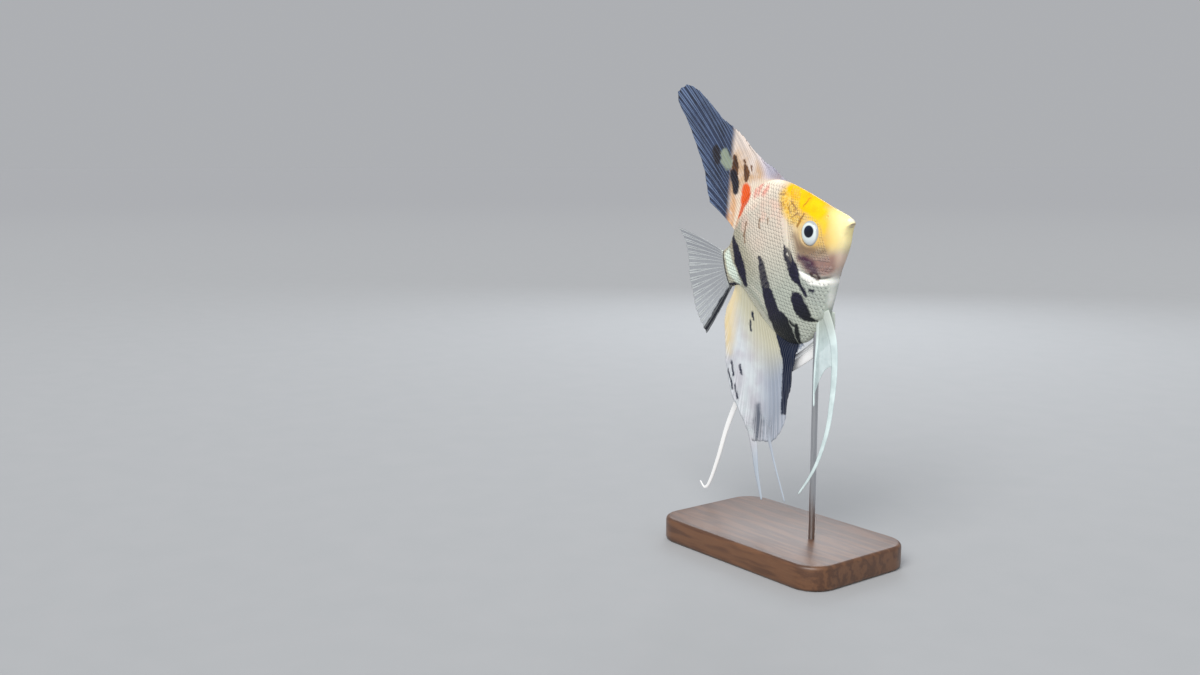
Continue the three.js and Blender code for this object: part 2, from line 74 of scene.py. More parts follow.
PUPIL_AHEAD, PUPIL_UP, PUPIL_RADIUS = 0.55, 0.58, 1.83

DORSAL_BASE, DORSAL_BOW = (31.2, 4.4), 3.2
DORSAL_EDGE = [
    (0, 31, 21.6), (0.1, 27.6, 26), (0.2, 23.9, 29.6), (0.28, 21.2, 33), (0.36, 18.4, 37.6),
    (0.44, 15, 43.2), (0.5, 12.8, 45.8), (0.54, 9, 49.6), (0.58, 4.6, 57.2), (0.63, -0.2, 63.8),
    (0.68, -4.9, 66.9), (0.73, -8.7, 66.1), (0.77, -9.6, 62.4), (0.82, -7.6, 55), (0.87, -5.4, 45),
    (0.92, -4.4, 36.4), (0.96, -4.9, 29.6), (1, -4.6, 24.4)
]
ANAL_BASE, ANAL_BOW = (23.6, -0.2), -3.0
ANAL_EDGE = [
    (0, 23.8, -32.2), (0.1, 19.4, -34.4), (0.2, 16.7, -39), (0.3, 14.4, -43.7), (0.38, 12.2, -47.8),
    (0.44, 9.8, -52), (0.5, 8, -55.4), (0.55, 4.6, -58.6), (0.6, 0.4, -60.2), (0.66, -3.5, -59.4),
    (0.71, -7.4, -58.4), (0.76, -9.2, -54.5), (0.81, -11, -47), (0.85, -12.5, -40), (0.89, -12.4, -31.5),
    (0.93, -10.8, -23), (0.965, -9, -16.8), (1, -6.2, -11.8)
]
CAUDAL_ROOT_X, CAUDAL_TOP, CAUDAL_BOTTOM, CAUDAL_BOW = -2.4, 6.0, -5.4, 0.8
CAUDAL_EDGE = [
    (0, -21.4, 20.2), (0.17, -19.4, 13.5), (0.36, -20, 7), (0.52, -21, 0), (0.68, -21, -7),
    (0.85, -20.2, -13.6), (1, -18.2, -19)
]
PECTORAL_X, PECTORAL_TOP, PECTORAL_BOTTOM = 31.6, -0.9, -5.2
PECTORAL_FLANK, PECTORAL_STAND_OFF, PECTORAL_BOW = 5.0, 0.36, 0.6
PECTORAL_EDGE = [(0, 20, 0.8), (0.25, 17.6, -3.4), (0.5, 18, -8), (0.75, 21.4, -11.8), (1, 25.8, -12.6)]
ANAL_STREAMERS = [
    ([(3, -50), (0.4, -58), (0.2, -63), (0.4, -69), (1.3, -80.3)], (3.2, 1.1, 0.55)),
    ([(-6.6, -50), (-7.0, -57), (-7.4, -62), (-8.4, -69), (-8.8, -78.6)], (4.0, 2.9, 0.8)),
]
PELVIC_Z, PELVIC_Y, PELVIC_SPLAY = -25.2, 1.5, 0.1
RIGHT_PELVIC = {
    "lead": ([(37.2, -23.5), (38.6, -31), (38.5, -37), (36.9, -44.5), (34.4, -52), (31.0, -60),
              (25.6, -68.2), (20.4, -73.6), (14.8, -78)], (3.4, 2.3, 0.6)),
    "rear": ([(34.2, -23.5), (32.2, -31.4), (30.0, -38.4), (28.0, -45.8), (26.8, -51.6)],
             (1.6, 0.9, 0.55)),
    "web_reach": (0.32, 0.86),
}
LEFT_PELVIC = {
    "lead": ([(37.0, -23.5), (34.0, -30.2), (25, -34.6), (10, -38.2), (-4, -40.2), (-14.2, -43.4),
              (-23.8, -51.6), (-33.2, -62), (-41.2, -70.0), (-44.8, -71.8), (-46.2, -69.2)],
             (3.4, 2.5, 0.6)),
    "rear": ([(34.2, -23.5), (29.6, -29.9), (22, -33.0), (13, -34.9), (5, -36.0)], (1.6, 0.9, 0.55)),
    "web_reach": (0.28, 0.92),
}
STAND_LENGTH, STAND_WIDTH, STAND_CORNER, STAND_HEIGHT, STAND_EASE = 74, 46, 9, 8, 1.2
ROD_RADIUS, ROD_X, ROD_FOOT_Z, ROD_TOP_Z, ROD_EASE = 1.0, 14.4, 2.3, 78.9, 0.15

SIDES = {"right": -1, "left": 1}

# ---------------- shapes in numbers


def smooth(value, low, high):
    """0 below low and 1 above high, with a soft rise between."""
    share = np.clip((value - low) / (high - low), 0, 1)
    return share * share * (3 - 2 * share)


def curve_through(pairs):
    """A smooth function through (place, value) pairs that never overshoots them."""
    places, values = np.array(pairs, float).T
    spans = np.diff(places)
    slopes = np.diff(values) / spans
    before, after = slopes[:-1], slopes[1:]
    with np.errstate(divide="ignore", invalid="ignore"):
        inner = np.where(before * after <= 0, 0, 2 * before * after / (before + after))
    tangents = np.concatenate((slopes[:1], inner, slopes[-1:]))

    def at(place):
        place = np.asarray(place, float)
        i = np.clip(np.searchsorted(places, place) - 1, 0, len(spans) - 1)
        t = np.clip((place - places[i]) / spans[i], 0, 1)
        rise = values[i + 1] - values[i]
        return (values[i] + t * t * (3 - 2 * t) * rise
                + spans[i] * (t * (1 - t) ** 2 * tangents[i] - t * t * (1 - t) * tangents[i + 1]))

    return at


back_at, belly_at = curve_through(BACK), curve_through(BELLY)
half_width_at, widest_level_at = curve_through(HALF_WIDTH), curve_through(WIDEST_LEVEL)
back_keenness_at, belly_keenness_at = curve_through(BACK_KEENNESS), curve_through(BELLY_KEENNESS)
TIP_UP = np.array(Matrix.Rotation(-NOSE_UP, 3, "Y"))


def to_row(points):
    """From the fish's frame in millimetres to the row frame in metres."""
    return (points @ TIP_UP.T + np.array(TAIL_STALK_PLACE)) * MM


def swing(x):
    """How far the body's middle stands to the left at x: the tail swings to the right."""
    share = np.clip((SWING_START_X - np.asarray(x, float)) / (SWING_START_X - SWING_END_X), 0, 1.1)
    return -TAIL_SWING * share * share


def body_surface(x, turn, swell, narrow=1.0, low=1.0):
    """Points of the body's rings at x, where the turn starts at the back and goes to the left."""
    level = widest_level_at(x)
    up, side = np.cos(turn), np.sin(turn)
    reach = np.where(up >= 0, back_at(x) - level, level - belly_at(x)) + swell
    keenness = np.where(up >= 0, back_keenness_at(x), belly_keenness_at(x))
    across = np.sign(side) * np.abs(side) ** keenness
    y = (half_width_at(x) + swell) * across * narrow + swing(x)
    return np.stack((x + 0 * turn, y, level + reach * up * low), -1)


def to_line(x, z, line):
    """Distance from points to a line drawn in side view, and the same with a sign: above 0 on the
    left of the line as it is walked."""
    near = np.full(np.shape(x), np.inf)
    signed = np.zeros(np.shape(x))
    for (ax, az), (bx, bz) in zip(line, line[1:]):
        dx, dz = bx - ax, bz - az
        t = np.clip(((x - ax) * dx + (z - az) * dz) / (dx * dx + dz * dz), 0, 1)
        gap = np.hypot(x - ax - t * dx, z - az - t * dz)
        side = np.sign(dx * (z - az) - dz * (x - ax))
        closer = gap < near
        near = np.where(closer, gap, near)
        signed = np.where(closer, gap * side, signed)
    return near, signed


def ridge(distance, width):
    """1 where the distance is 0, falling away on both sides."""
    return np.exp(-((distance / width) ** 2))


# ---------------- relief of the skin

EYE_OPENING, EYE_OPENING_RADIUS, EYE_CUP_DEPTH = (40.35, 0.6), 3.6, 1.7
NOSTRIL, CHEEK, PELVIC_ROOT = (47.6, 4.3), (40.5, -5.6), (35.6, -24.4)
PECTORAL_ROOT, PECTORAL_ROOT_LENGTH, PECTORAL_ROOT_HEIGHT = (31.0, -3.0), 0.75, 1.5
MOUTH = [(55.6, 0.1), (54.6, -0.35), (53.8, -0.9)]
LIP_FOLD = [(54.4, 2.4), (53, 1.3), (51.9, 0.2), (51.4, -1.2), (51.3, -2.6)]
CHIN_FOLD = [(52.2, -2.6), (50.9, -3.9), (49.9, -5.6)]
PREOPERCLE = [
    (36.3, 4.9), (35.9, 1.2), (36.4, -2.5), (38.2, -5.8), (41.5, -8.3), (45.2, -9.8), (48.4, -9.3)
]
CHEST_FOLDS = [[(35.9, -20.2), (35, -23), (34, -26.6)], [(31, -25), (33.6, -25.9), (35.6, -25.4)]]

# For each fold: how far it stands out, how far from its line or place it lies, and how wide it is.
EYE_RIM, EYE_GROOVE = (0.05, 0.5, 0.45), (-0.05, 1.4, 0.45)
NOSTRIL_RIM, NOSTRIL_PIT = (0.08, 0.42, 0.2), (-0.4, 0, 0.26)
LIPS, MOUTH_SLIT = (0.03, 0.45, 0.4), (-0.2, 0, 0.15)
FACE_CREASE, CHEST_CREASE, BONE_GROOVE = (-0.04, 0, 0.3), (-0.16, 0, 0.4), (-0.07, -0.1, 0.3)
GILL_SLIT, GILL_COVER_EDGE = (-0.5, -0.25, 0.27), (0.2, 0.55, 0.5)
CHEEK_SWELL, PECTORAL_SWELL, PELVIC_SWELL = (0.22, 0, 2.6), (0.25, 0, 1.3), (0.35, 0, 2.0)
# Where some of them begin or end, each as a low and a high value.
FLANK_FADE, EYE_CUP_FADE, LIPS_FADE, BONE_FADE = (0.3, 1.2), (-0.4, 0.1), (50.5, 52.5), (36.5, 39.5)
GILL_TOP_FADE, GILL_FRONT_FADE, GILL_LOW_FADE = (7.0, 10.0), (41.5, 44.5), (-10.0, -5.0)


def from_place(x, z, place, length=1.0, height=1.0):
    """Distance from a place in side view, counted in steps of the given length and height."""
    return np.hypot((x - place[0]) / length, (z - place[1]) / height)


def fold(distance, rise, out, width):
    """How far a fold stands out at a distance from its line or place."""
    return rise * ridge(distance - out, width)


def relief(x, y, z):
    """How far the skin stands out from the plain body, in millimetres."""
    on_flank = smooth(np.abs(y - swing(x)), *FLANK_FADE)
    from_rim = from_place(x, z, EYE_OPENING, EYE_NARROW) - EYE_OPENING_RADIUS
    rise = -EYE_CUP_DEPTH * (1 - smooth(from_rim, *EYE_CUP_FADE))
    rise += fold(from_rim, *EYE_RIM) + fold(from_rim, *EYE_GROOVE)
    mouth = to_line(x, z, MOUTH)[0]
    rise += smooth(x, *LIPS_FADE) * (fold(mouth, *LIPS) + fold(mouth, *MOUTH_SLIT))
    for line in (LIP_FOLD, CHIN_FOLD):
        rise += on_flank * fold(to_line(x, z, line)[0], *FACE_CREASE)
    for line in CHEST_FOLDS:
        rise += on_flank * fold(to_line(x, z, line)[0], *CHEST_CREASE)
    nostril = from_place(x, z, NOSTRIL)
    rise += on_flank * (fold(nostril, *NOSTRIL_RIM) + fold(nostril, *NOSTRIL_PIT))
    bone_side = to_line(x, z, PREOPERCLE)[1]
    rise += on_flank * (1 - smooth(x, *BONE_FADE)) * fold(bone_side, *BONE_GROOVE)
    gill_side = to_line(x, z, GILL_LINE)[1]
    opening = on_flank * (1 - smooth(z, *GILL_TOP_FADE)) * (1 - smooth(x, *GILL_FRONT_FADE))
    opening = opening * (0.4 + 0.6 * (1 - smooth(z, *GILL_LOW_FADE)))
    rise += opening * (fold(gill_side, *GILL_SLIT) + fold(gill_side, *GILL_COVER_EDGE))
    root = from_place(x, z, PECTORAL_ROOT, PECTORAL_ROOT_LENGTH, PECTORAL_ROOT_HEIGHT)
    rise += on_flank * fold(root, *PECTORAL_SWELL)
    rise += fold(from_place(x, z, CHEEK), *CHEEK_SWELL)
    rise += fold(from_place(x, z, PELVIC_ROOT), *PELVIC_SWELL)
    return rise


# ---------------- the skin's grid

SKIN_RINGS, SKIN_SEGMENTS = 300, 300
SKIN_DEPTH = 0.2  # how far the skin lies inside the body's outline, to leave room for the scales
NOSE_RINGS, END_RINGS = 22, 14
NOSE_X, NOSE_ROUND = 54.1, 0.8
END_X, END_ROUND = -2.7, 1.0
QUARTER = SKIN_SEGMENTS // 4


def ring_stations():
    """From snout to tail: each ring's x, and how much narrower and lower the round ends make it."""
    nose = np.linspace(math.pi / 2, 0, NOSE_RINGS, endpoint=False)
    end = np.linspace(0, math.pi / 2, END_RINGS + 1)[1:]
    fine = np.linspace(END_X, NOSE_X, 2000)
    density = 1 + 0.9 * smooth(fine, 26, 36) + 0.5 * smooth(fine, 47, 52)
    reach = np.concatenate(([0], np.cumsum((density[1:] + density[:-1]) / 2)))
    count = SKIN_RINGS + 1 - NOSE_RINGS - END_RINGS
    middle = np.interp(np.linspace(reach[-1], 0, count), reach, fine)
    x = np.concatenate((NOSE_X + NOSE_ROUND * np.sin(nose), middle, END_X - END_ROUND * np.sin(end)))
    narrow = np.concatenate((np.cos(nose) ** 0.8, np.ones(count), np.cos(end)))
    low = np.concatenate((np.cos(nose) ** 0.8, np.ones(count), np.cos(end) ** 0.3))
    return x, narrow, low


station_x, station_narrow, station_low = ring_stations()


def even_turns():
    """For each station the turns that walk evenly round the ring, and its upper and lower lengths."""
    turn = np.linspace(0, math.pi, 721)
    points = body_surface(station_x[:, None], turn[None, :], -SKIN_DEPTH)
    step = np.linalg.norm(np.diff(points, axis=1), axis=2)
    walked = np.concatenate((np.zeros((len(step), 1)), np.cumsum(step, axis=1)), axis=1)
    half = turn.size // 2
    turns = np.zeros((len(station_x), SKIN_SEGMENTS))
    for i, along in enumerate(walked):
        upper = np.interp(np.linspace(0, along[half], QUARTER + 1), along[:half + 1], turn[:half + 1])
        lower = np.interp(np.linspace(along[half], along[-1], QUARTER + 1), along[half:], turn[half:])
        left = np.concatenate((upper, lower[1:]))
        turns[i, :2 * QUARTER + 1] = left
        turns[i, 2 * QUARTER:] = 2 * math.pi - left[::-1][:-1]
    return turns, walked[:, half], walked[:, -1] - walked[:, half]


ring_turns, upper_length, lower_length = even_turns()
skin_plain = body_surface(station_x[:, None], ring_turns, -SKIN_DEPTH,
                          station_narrow[:, None], station_low[:, None])
lengthwise = np.gradient(skin_plain, axis=0)
around = np.roll(skin_plain, -1, axis=1) - np.roll(skin_plain, 1, axis=1)
skin_normal = np.cross(around, lengthwise)
skin_normal /= np.maximum(np.linalg.norm(skin_normal, axis=2, keepdims=True), 1e-9)
outward = np.sign(np.sum(skin_normal[:, QUARTER, 1]))
skin_normal *= outward
skin_normal[0], skin_normal[-1] = (1, 0, 0), (-1, 0, 0)
skin_rise = relief(*np.moveaxis(skin_plain, 2, 0))
skin_rise[0], skin_rise[-1] = 0, 0
skin_places = skin_plain + skin_normal * skin_rise[..., None]


def on_skin(x, level, side):
    """Skin points and normals at x, and at a level from -1 at the belly to 1 at the back."""
    i = np.interp(-x, -station_x, np.arange(len(station_x)))
    k = (1 - level) * QUARTER if side > 0 else SKIN_SEGMENTS - (1 - level) * QUARTER
    i0 = np.clip(i.astype(int), 0, len(station_x) - 2)
    k0 = np.floor(k).astype(int)
    i_share, k_share = (i - i0)[..., None], (k - k0)[..., None]
    found = []
    for grid in (skin_places, skin_normal):
        low, high = (
            grid[i0, j % SKIN_SEGMENTS] * (1 - i_share) + grid[i0 + 1, j % SKIN_SEGMENTS] * i_share
            for j in (k0, k0 + 1))
        found.append(low * (1 - k_share) + high * k_share)
    return found


# ---------------- making and finishing pieces


def new_piece(name):
    """The object that the last operator added, under its own name."""
    piece = bpy.context.object
    piece.name = piece.data.name = name
    return piece


def start():
    """Nothing is selected when a new piece is begun."""
    bpy.ops.object.select_all(action="DESELECT")


def vertex_places(piece):
    places = np.zeros(len(piece.data.vertices) * 3)
    piece.data.vertices.foreach_get("co", places)
    return places.reshape(-1, 3)


def put_vertices(piece, fish_points):
    piece.data.vertices.foreach_set("co", to_row(fish_points).ravel())
    piece.data.update()


def close_up():
    """Turns the active piece's faces outwards and shades them smoothly."""
    bpy.ops.object.mode_set(mode="EDIT")
    bpy.ops.mesh.select_all(action="SELECT")
    bpy.ops.mesh.normals_make_consistent(inside=False)
    bpy.ops.object.mode_set(mode="OBJECT")
    bpy.ops.object.shade_smooth()


def flat_grid(name, across, along):
    """A flat grid, and how far across and along it each of its vertices is, from 0 to 1."""
    start()
    bpy.ops.mesh.primitive_grid_add(x_subdivisions=across, y_subdivisions=along, size=1)
    piece = new_piece(name)
    places = vertex_places(piece)
    return piece, places[:, 0] + 0.5, places[:, 1] + 0.5


def apply_modifier(piece, kind, **settings):
    made = piece.modifiers.new(kind.title(), kind)
    for key, value in settings.items():
        setattr(made, key, value)
    bpy.ops.object.modifier_apply(modifier=made.name)


def thicken(piece, thickness, share, steps=100):
    """Gives a flat piece its thickness in millimetres, times each vertex's share of it."""
    group = piece.vertex_groups.new(name="thickness")
    levels = np.rint(share * steps).astype(int)
    for level in np.unique(levels):
        group.add(np.nonzero(levels == level)[0].tolist(), level / steps, "REPLACE")
    apply_modifier(piece, "SOLIDIFY", thickness=thickness * MM, offset=0, vertex_group="thickness",
                   use_even_offset=False, use_rim=True)
    close_up()


def keep_values(piece, **named):
    """Stores numbers for each vertex under their names, for the piece's material to read."""
    for name, values in named.items():
        layer = piece.data.attributes.new(name, "FLOAT", "POINT")
        layer.data.foreach_set("value", np.asarray(values, np.float32))


def join(pieces, name):
    start()
    for piece in pieces:
        piece.select_set(True)
    bpy.context.view_layer.objects.active = pieces[0]
    bpy.ops.object.join()
    return new_piece(name)


def dress(piece, finish, slot, *nodes):
    """Gives a piece its finish, puts it under the root body and hides the solid model's nodes it stands
    for.
    """
    piece.data.materials.clear()
    piece.data.materials.append(finish)
    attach(piece, "root")
    if nodes:
        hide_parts(*nodes)


# ---------------- shader arithmetic


def adds_node(operation, swapped=False):
    """A method of Field that adds one Math node."""
    def work_out(field, other):
        return field.work(operation, *((other, field) if swapped else (field, other)))

    return work_out


class Field:
    """A value that varies over a surface. Arithmetic on it adds the nodes that work it out."""

    def __init__(self, finish, socket):
        self.finish, self.socket = finish, socket

    def work(self, operation, *values):
        return self.finish.node("ShaderNodeMath", {"operation": operation}, dict(enumerate(values)))

    __add__ = __radd__ = adds_node("ADD")
    __mul__ = __rmul__ = adds_node("MULTIPLY")
    __sub__, __rsub__ = adds_node("SUBTRACT"), adds_node("SUBTRACT", swapped=True)
    __truediv__, __pow__ = adds_node("DIVIDE"), adds_node("POWER")
    least, most = adds_node("MINIMUM"), adds_node("MAXIMUM")

    def sine(self):
        return self.work("SINE", self)

    def step(self, low, high):
        """0 at low and 1 at high, with a soft rise between."""
        settings = {"interpolation_type": "SMOOTHSTEP"}
        if low > high:
            return 1 - self.step(high, low)
        return self.finish.node("ShaderNodeMapRange", settings, {0: self, 1: low, 2: high})


def paint(shade):
    """A colour as seen, 0 to 255, made linear for a shader."""
    seen = [value / 255 for value in shade]
    linear = [v / 12.92 if v <= 0.04045 else ((v + 0.055) / 1.055) ** 2.4 for v in seen]
    return (*linear, 1.0)


class Finish:
    """A material and the nodes that make it."""

    def __init__(self, name):
        self.material = bpy.data.materials.new(name)
        self.material.use_nodes = True
        self.tree = self.material.node_tree
        self.tree.nodes.clear()

    def node(self, kind, settings, sockets, out=0):
        made = self.tree.nodes.new(kind)
        for key, value in settings.items():
            setattr(made, key, value)
        for key, value in sockets.items():
            if isinstance(value, Field):
                self.tree.links.new(value.socket, made.inputs[key])
            else:
                made.inputs[key].default_value = value
        return Field(self, made.outputs[out]) if made.outputs else None

    def mix(self, low, high, share):
        """Blends two colours, each a row of red, green and blue as seen, or an earlier blend."""
        low, high = (paint(colour) if isinstance(colour, tuple) else colour for colour in (low, high))
        return self.node("ShaderNodeMix", {"data_type": "RGBA"}, {0: share, 6: low, 7: high}, out=2)

    def vector(self, operation, *values, out=0):
        return self.node("ShaderNodeVectorMath", {"operation": operation}, dict(enumerate(values)), out)

    def row_place(self):
        return self.node("ShaderNodeTexCoord", {}, {}, out="Object")

    def fish_place(self):
        """Where a point is in the fish's own frame, in millimetres."""
        sockets = {"Vector": self.row_place(), "Rotation": (0, -NOSE_UP, 0), "Scale": (MM, MM, MM),
                   "Location": tuple(value * MM for value in TAIL_STALK_PLACE)}
        return self.node("ShaderNodeMapping", {"vector_type": "TEXTURE"}, sockets)

    def parts(self, vector):
        return [self.node("ShaderNodeSeparateXYZ", {}, {0: vector}, out=i) for i in range(3)]

    def kept(self, name):
        """The number that each vertex keeps under a name."""
        return self.node("ShaderNodeAttribute", {"attribute_name": name}, {}, out="Fac")

    def noise(self, place, scale, detail=2.0, roughness=0.5):
        sockets = {"Vector": place, "Scale": scale, "Detail": detail, "Roughness": roughness}
        return self.node("ShaderNodeTexNoise", {}, sockets, out=0)

    def cells(self, place, scale, feature="F1"):
        return self.node("ShaderNodeTexVoronoi", {"feature": feature}, {"Vector": place, "Scale": scale})

    def ragged(self, place, reach, scale):
        """The place shifted a little to and fro, so that drawn edges turn ragged."""
        sockets = {"Vector": place, "Scale": scale, "Detail": 3.0}
        drift = self.node("ShaderNodeTexNoise", {}, sockets, out=1)
        centred = self.vector("SUBTRACT", drift, (0.5, 0.5, 0.5))
        return self.vector("MULTIPLY_ADD", centred, (reach, reach, reach), place)

    def flat(self, place):
        return self.vector("MULTIPLY", place, (1, 0, 1))

    def from_strokes(self, place, strokes):
        """Distance to the edge of tapering strokes drawn in side view as (x, z, half width)."""
        nearest = None
        for stroke in strokes:
            for (ax, az, wide), (bx, bz, next_wide) in zip(stroke, stroke[1:]):
                run, climb = bx - ax, bz - az
                square = run * run + climb * climb
                offset = self.vector("SUBTRACT", place, (ax, 0, az))
                share = self.vector("DOT_PRODUCT", offset, (run / square, 0, climb / square), out=1)
                share = share.most(0.0).least(1.0)
                shift = self.node("ShaderNodeCombineXYZ", {}, {"X": share, "Y": share, "Z": share})
                away = self.vector("MULTIPLY_ADD", shift, (-run, 0, -climb), offset)
                gap = self.vector("LENGTH", away, out=1)
                gap = gap.work("MULTIPLY_ADD", share, wide - next_wide, gap) - wide
                if nearest is None:
                    nearest = gap
                else:
                    nearest = nearest.work("SMOOTH_MIN", nearest, gap, STROKE_BLEND)
        return nearest

    def marks(self, place, strokes, soft):
        """1 on the strokes and 0 away from them."""
        return self.from_strokes(place, strokes).step(soft + STROKE_SPREAD, STROKE_SPREAD - soft)

    def draw(self, under, colour, place, strokes, soft, share=1.0):
        """The strokes in their colour over what is under them, as strong as the share says."""
        mask = self.marks(place, strokes, soft)
        return self.mix(under, colour, mask * share if share < 1 else mask)

    def bump(self, height, distance):
        sockets = {"Height": height, "Distance": distance * MM, "Strength": 1.0}
        return self.node("ShaderNodeBump", {}, sockets)

    def surface(self, **sockets):
        named = {key.replace("_", " ").title().replace("Ior", "IOR"): v for key, v in sockets.items()}
        shader = self.node("ShaderNodeBsdfPrincipled", {}, named)
        self.node("ShaderNodeOutputMaterial", {}, {"Surface": shader})
        return self.material


# ---------------- markings, drawn in side view

STROKE_SPREAD, STROKE_BLEND = 0.15, 0.4
BODY_BLACK = [
    [(29.7, -0.2, 0.3), (30.1, -2.4, 1.5), (30.4, -4.9, 1.5), (31, -7.2, 1.9), (31.2, -9.6, 1.9),
     (31.6, -11.4, 1.2), (32.2, -13.2, 0.6), (32.9, -15.4, 0.7), (33.2, -17.2, 0.5)],
    [(35.4, -15.9, 0.35), (36.6, -16.9, 0.45)],
    [(28.4, -15.6, 0.4), (29.4, -17.8, 2.3), (29.7, -20.4, 2.8), (30.6, -22.6, 2.2), (31.6, -24.4, 0.9),
     (33.4, -25.4, 0.3)],
    [(17.1, -0.8, 0.6), (17.4, -3.8, 1.5), (17, -7.4, 1.9), (16.9, -10.5, 1.8), (17, -13.4, 2.5),
     (17.1, -17, 2.9), (17.2, -20.4, 3.3), (18.4, -23.4, 4.4), (18.3, -26.4, 4.9), (17.8, -29.6, 4.6),
     (17.2, -32.4, 3.8), (16.5, -35.7, 3), (14.9, -40.2, 2.9), (13, -44.4, 2.5), (10.8, -48.2, 1.7),
     (9.2, -51.4, 0.8)],
    [(25.6, -25.4, 0.6), (24.4, -28.2, 1), (23.2, -30.8, 0.5)],
    [(23.6, -23.6, 0.5), (24.8, -25.4, 0.4)],
]
STALK_BLACK = [
    [(4, 9, 0.8), (5.2, 5, 1.7), (5.9, 1, 2.2), (6.3, -3, 2.1), (6.4, -6.8, 1.2)],
    [(-2.6, 6, 0.2), (-2.9, -0.1, 0.25), (-3.1, -5, 0.4), (1.2, -6.4, 0.45)],
]
BROWN_SPOTS = [
    [(8.4, -18, 0.5), (7.9, -19.1, 0.3)],
    [(6.4, -20.7, 0.5), (6, -21.9, 0.3)],
    [(20.2, 11.6, 0.3), (19.3, 8.8, 0.3)],
    [(24, 10.4, 0.25), (23.7, 8.6, 0.15)],
    [(12.9, 12.3, 0.25), (11, 8.5, 0.3), (11, 5.9, 0.15)],
]
BROW_DASHES = [
    [(36.4, 4.7, 0.25), (37.9, 6, 0.35), (39.3, 7.3, 0.1)],
    [(39.3, 10, 0.02), (40.4, 10.9, 0.08), (41.4, 12.2, 0.02)],
    [(34.5, 7.8, 0.05), (36.4, 8.1, 0.15), (37.4, 8, 0.05)],
    [(30.1, 16.5, 0.03), (32.1, 16.1, 0.06)],
    [(34.8, 13, 0.03), (36.7, 10, 0.08)],
    [(33.2, 12.2, 0.03), (34.2, 9.5, 0.08)],
]
YELLOW_CAP = [[(34, 17.4, 1.6), (37.4, 14.9, 2.5), (41, 11, 3.3), (43.6, 7.9, 3), (45.4, 6.2, 1.9)]]
AMBER_CHEEK = [[(31.6, 16.6, 1.6), (32.8, 13, 2.6), (34.8, 9.4, 2.8), (37.2, 6.8, 1.9)]]
EYE_GLOW = [[(44.8, 4.4, 1.9), (46, 2.2, 1.4), (45.8, 0.4, 0.7)]]
# Painted shadow: brown shade behind and below the eye.
SHADOW_BELOW_EYE = [[(34.4, 1.4, 0.6), (36, -2.4, 1.8), (40, -5, 1.8), (44.4, -5.8, 0.8)]]
# Painted light: pale strokes along the belly's edge, which turns down into shade.
BELLY_EDGE_LIGHT = [[(2.6, -8.6, 0.8), (5.6, -14.4, 1.2), (9.6, -21.6, 1.4), (14.6, -27.4, 1.2)]]
# Painted light: a near-white stroke along the chest's edge, which faces away from the light.
CHEST_EDGE_LIGHT = [[(48.4, -11, 0.6), (46.2, -13.4, 1.1), (43.4, -17.4, 1.3), (40.2, -23, 0.7)]]
ORANGE_PATCH = [[(13.4, 23.4, 2), (12.4, 20.4, 2.1), (10.6, 17.8, 1.3), (8.2, 15.2, 0.5)]]
ORANGE_HAZE = [[(11.6, 24.4, 1.8), (9.6, 18.2, 2), (6.6, 14.6, 1)]]
ROSE_SPOTS = [
    [(21.4, 25.2, 1), (20.8, 22.6, 1.1), (20, 20, 0.7)],
    [(22.6, 19.4, 0.8), (24.2, 20.6, 0.7)],
    [(18.4, 21.8, 0.8), (18, 19.6, 0.6)],
]
GILL_PINK = [[(34.8, -5.8, 0.9), (38.4, -8.6, 2.4), (42.8, -10.2, 3.4), (47.4, -9.6, 2.4)]]
GILL_PLUM = [[(35.2, -5.2, 0.7), (37, -6.8, 1.4), (38.4, -9, 1.5), (39.3, -11.2, 1)]]
GILL_RIM = [
    [(33.5, -8.8, 0.3), (34.9, -11.2, 0.8), (37, -13.3, 1.1), (40.2, -14.9, 0.8), (43.2, -15.2, 0.4)],
]
GILL_SPOT = [[(38.2, -11.8, 0.8), (39.8, -13, 0.8)]]
GILL_SPOT_EYE = [[(38.8, -12.1, 0.3), (39.3, -12.6, 0.3)]]
# Painted shade along the mouth slit, where the lips meet.
MOUTH_SLIT_SHADOW = [[(56, 0.25, 0.02), (54.6, -0.33, 0.04), (53.6, -1, 0)]]
LIP_WHITE = [[(55.3, 0.9, 0.5), (54.4, 1.5, 0.4)], [(54.8, -0.6, 0.3), (54, -1.2, 0.2)]]
FIN_ROOT_SPOT = [[(30.4, -2.7, 0.25), (30.6, -3.2, 0.2)]]
STALK_PALE = [[(-0.4, 5, 1.4), (1, -1, 2), (2.2, -5.4, 1.4)]]
PALE_BANDS = [
    [(4.4, -8.4, 0.5), (9.4, -15, 1.4), (13.2, -22.6, 1)],
    [(9.6, -8.4, 0.4), (13.2, -13, 0.9), (14.6, -19, 0.7)],
]
DUSKY_BANDS = [[(8, -9.6, 0.4), (12, -17, 0.6), (14, -22, 0.4)], [(5.6, -12.6, 0.3), (9, -18.8, 0.5)]]
DORSAL_DARK = [
    [(8.6, 30, 1.5), (8.8, 26.8, 1.6), (8.3, 24.4, 1.2)],
    [(2.9, 40.4, 1.8), (2.6, 37.4, 1.5)],
]
DORSAL_BROWN = [
    [(10.9, 35.2, 0.9), (10.2, 32.2, 1.4), (9, 29.8, 1.5)],
    [(14.8, 31.2, 0.6), (14.7, 28.4, 1.3), (14.1, 26.8, 0.8)],
    [(17.5, 29.9, 0.35), (17.3, 28.9, 0.3)],
    [(14.8, 33, 0.25), (15, 32.2, 0.2)],
]
DORSAL_GREEN = [[(6.4, 38.2, 1.6), (7.2, 34.4, 1.9), (5.6, 35.8, 1.2)]]
CAUDAL_BLACK = [
    [(-3, -5.6, 0.5), (-8.8, -10.2, 1), (-17.9, -17.4, 1.3)],
    [(-2.6, 6, 0.3), (-2.9, -5.8, 0.4)],
]
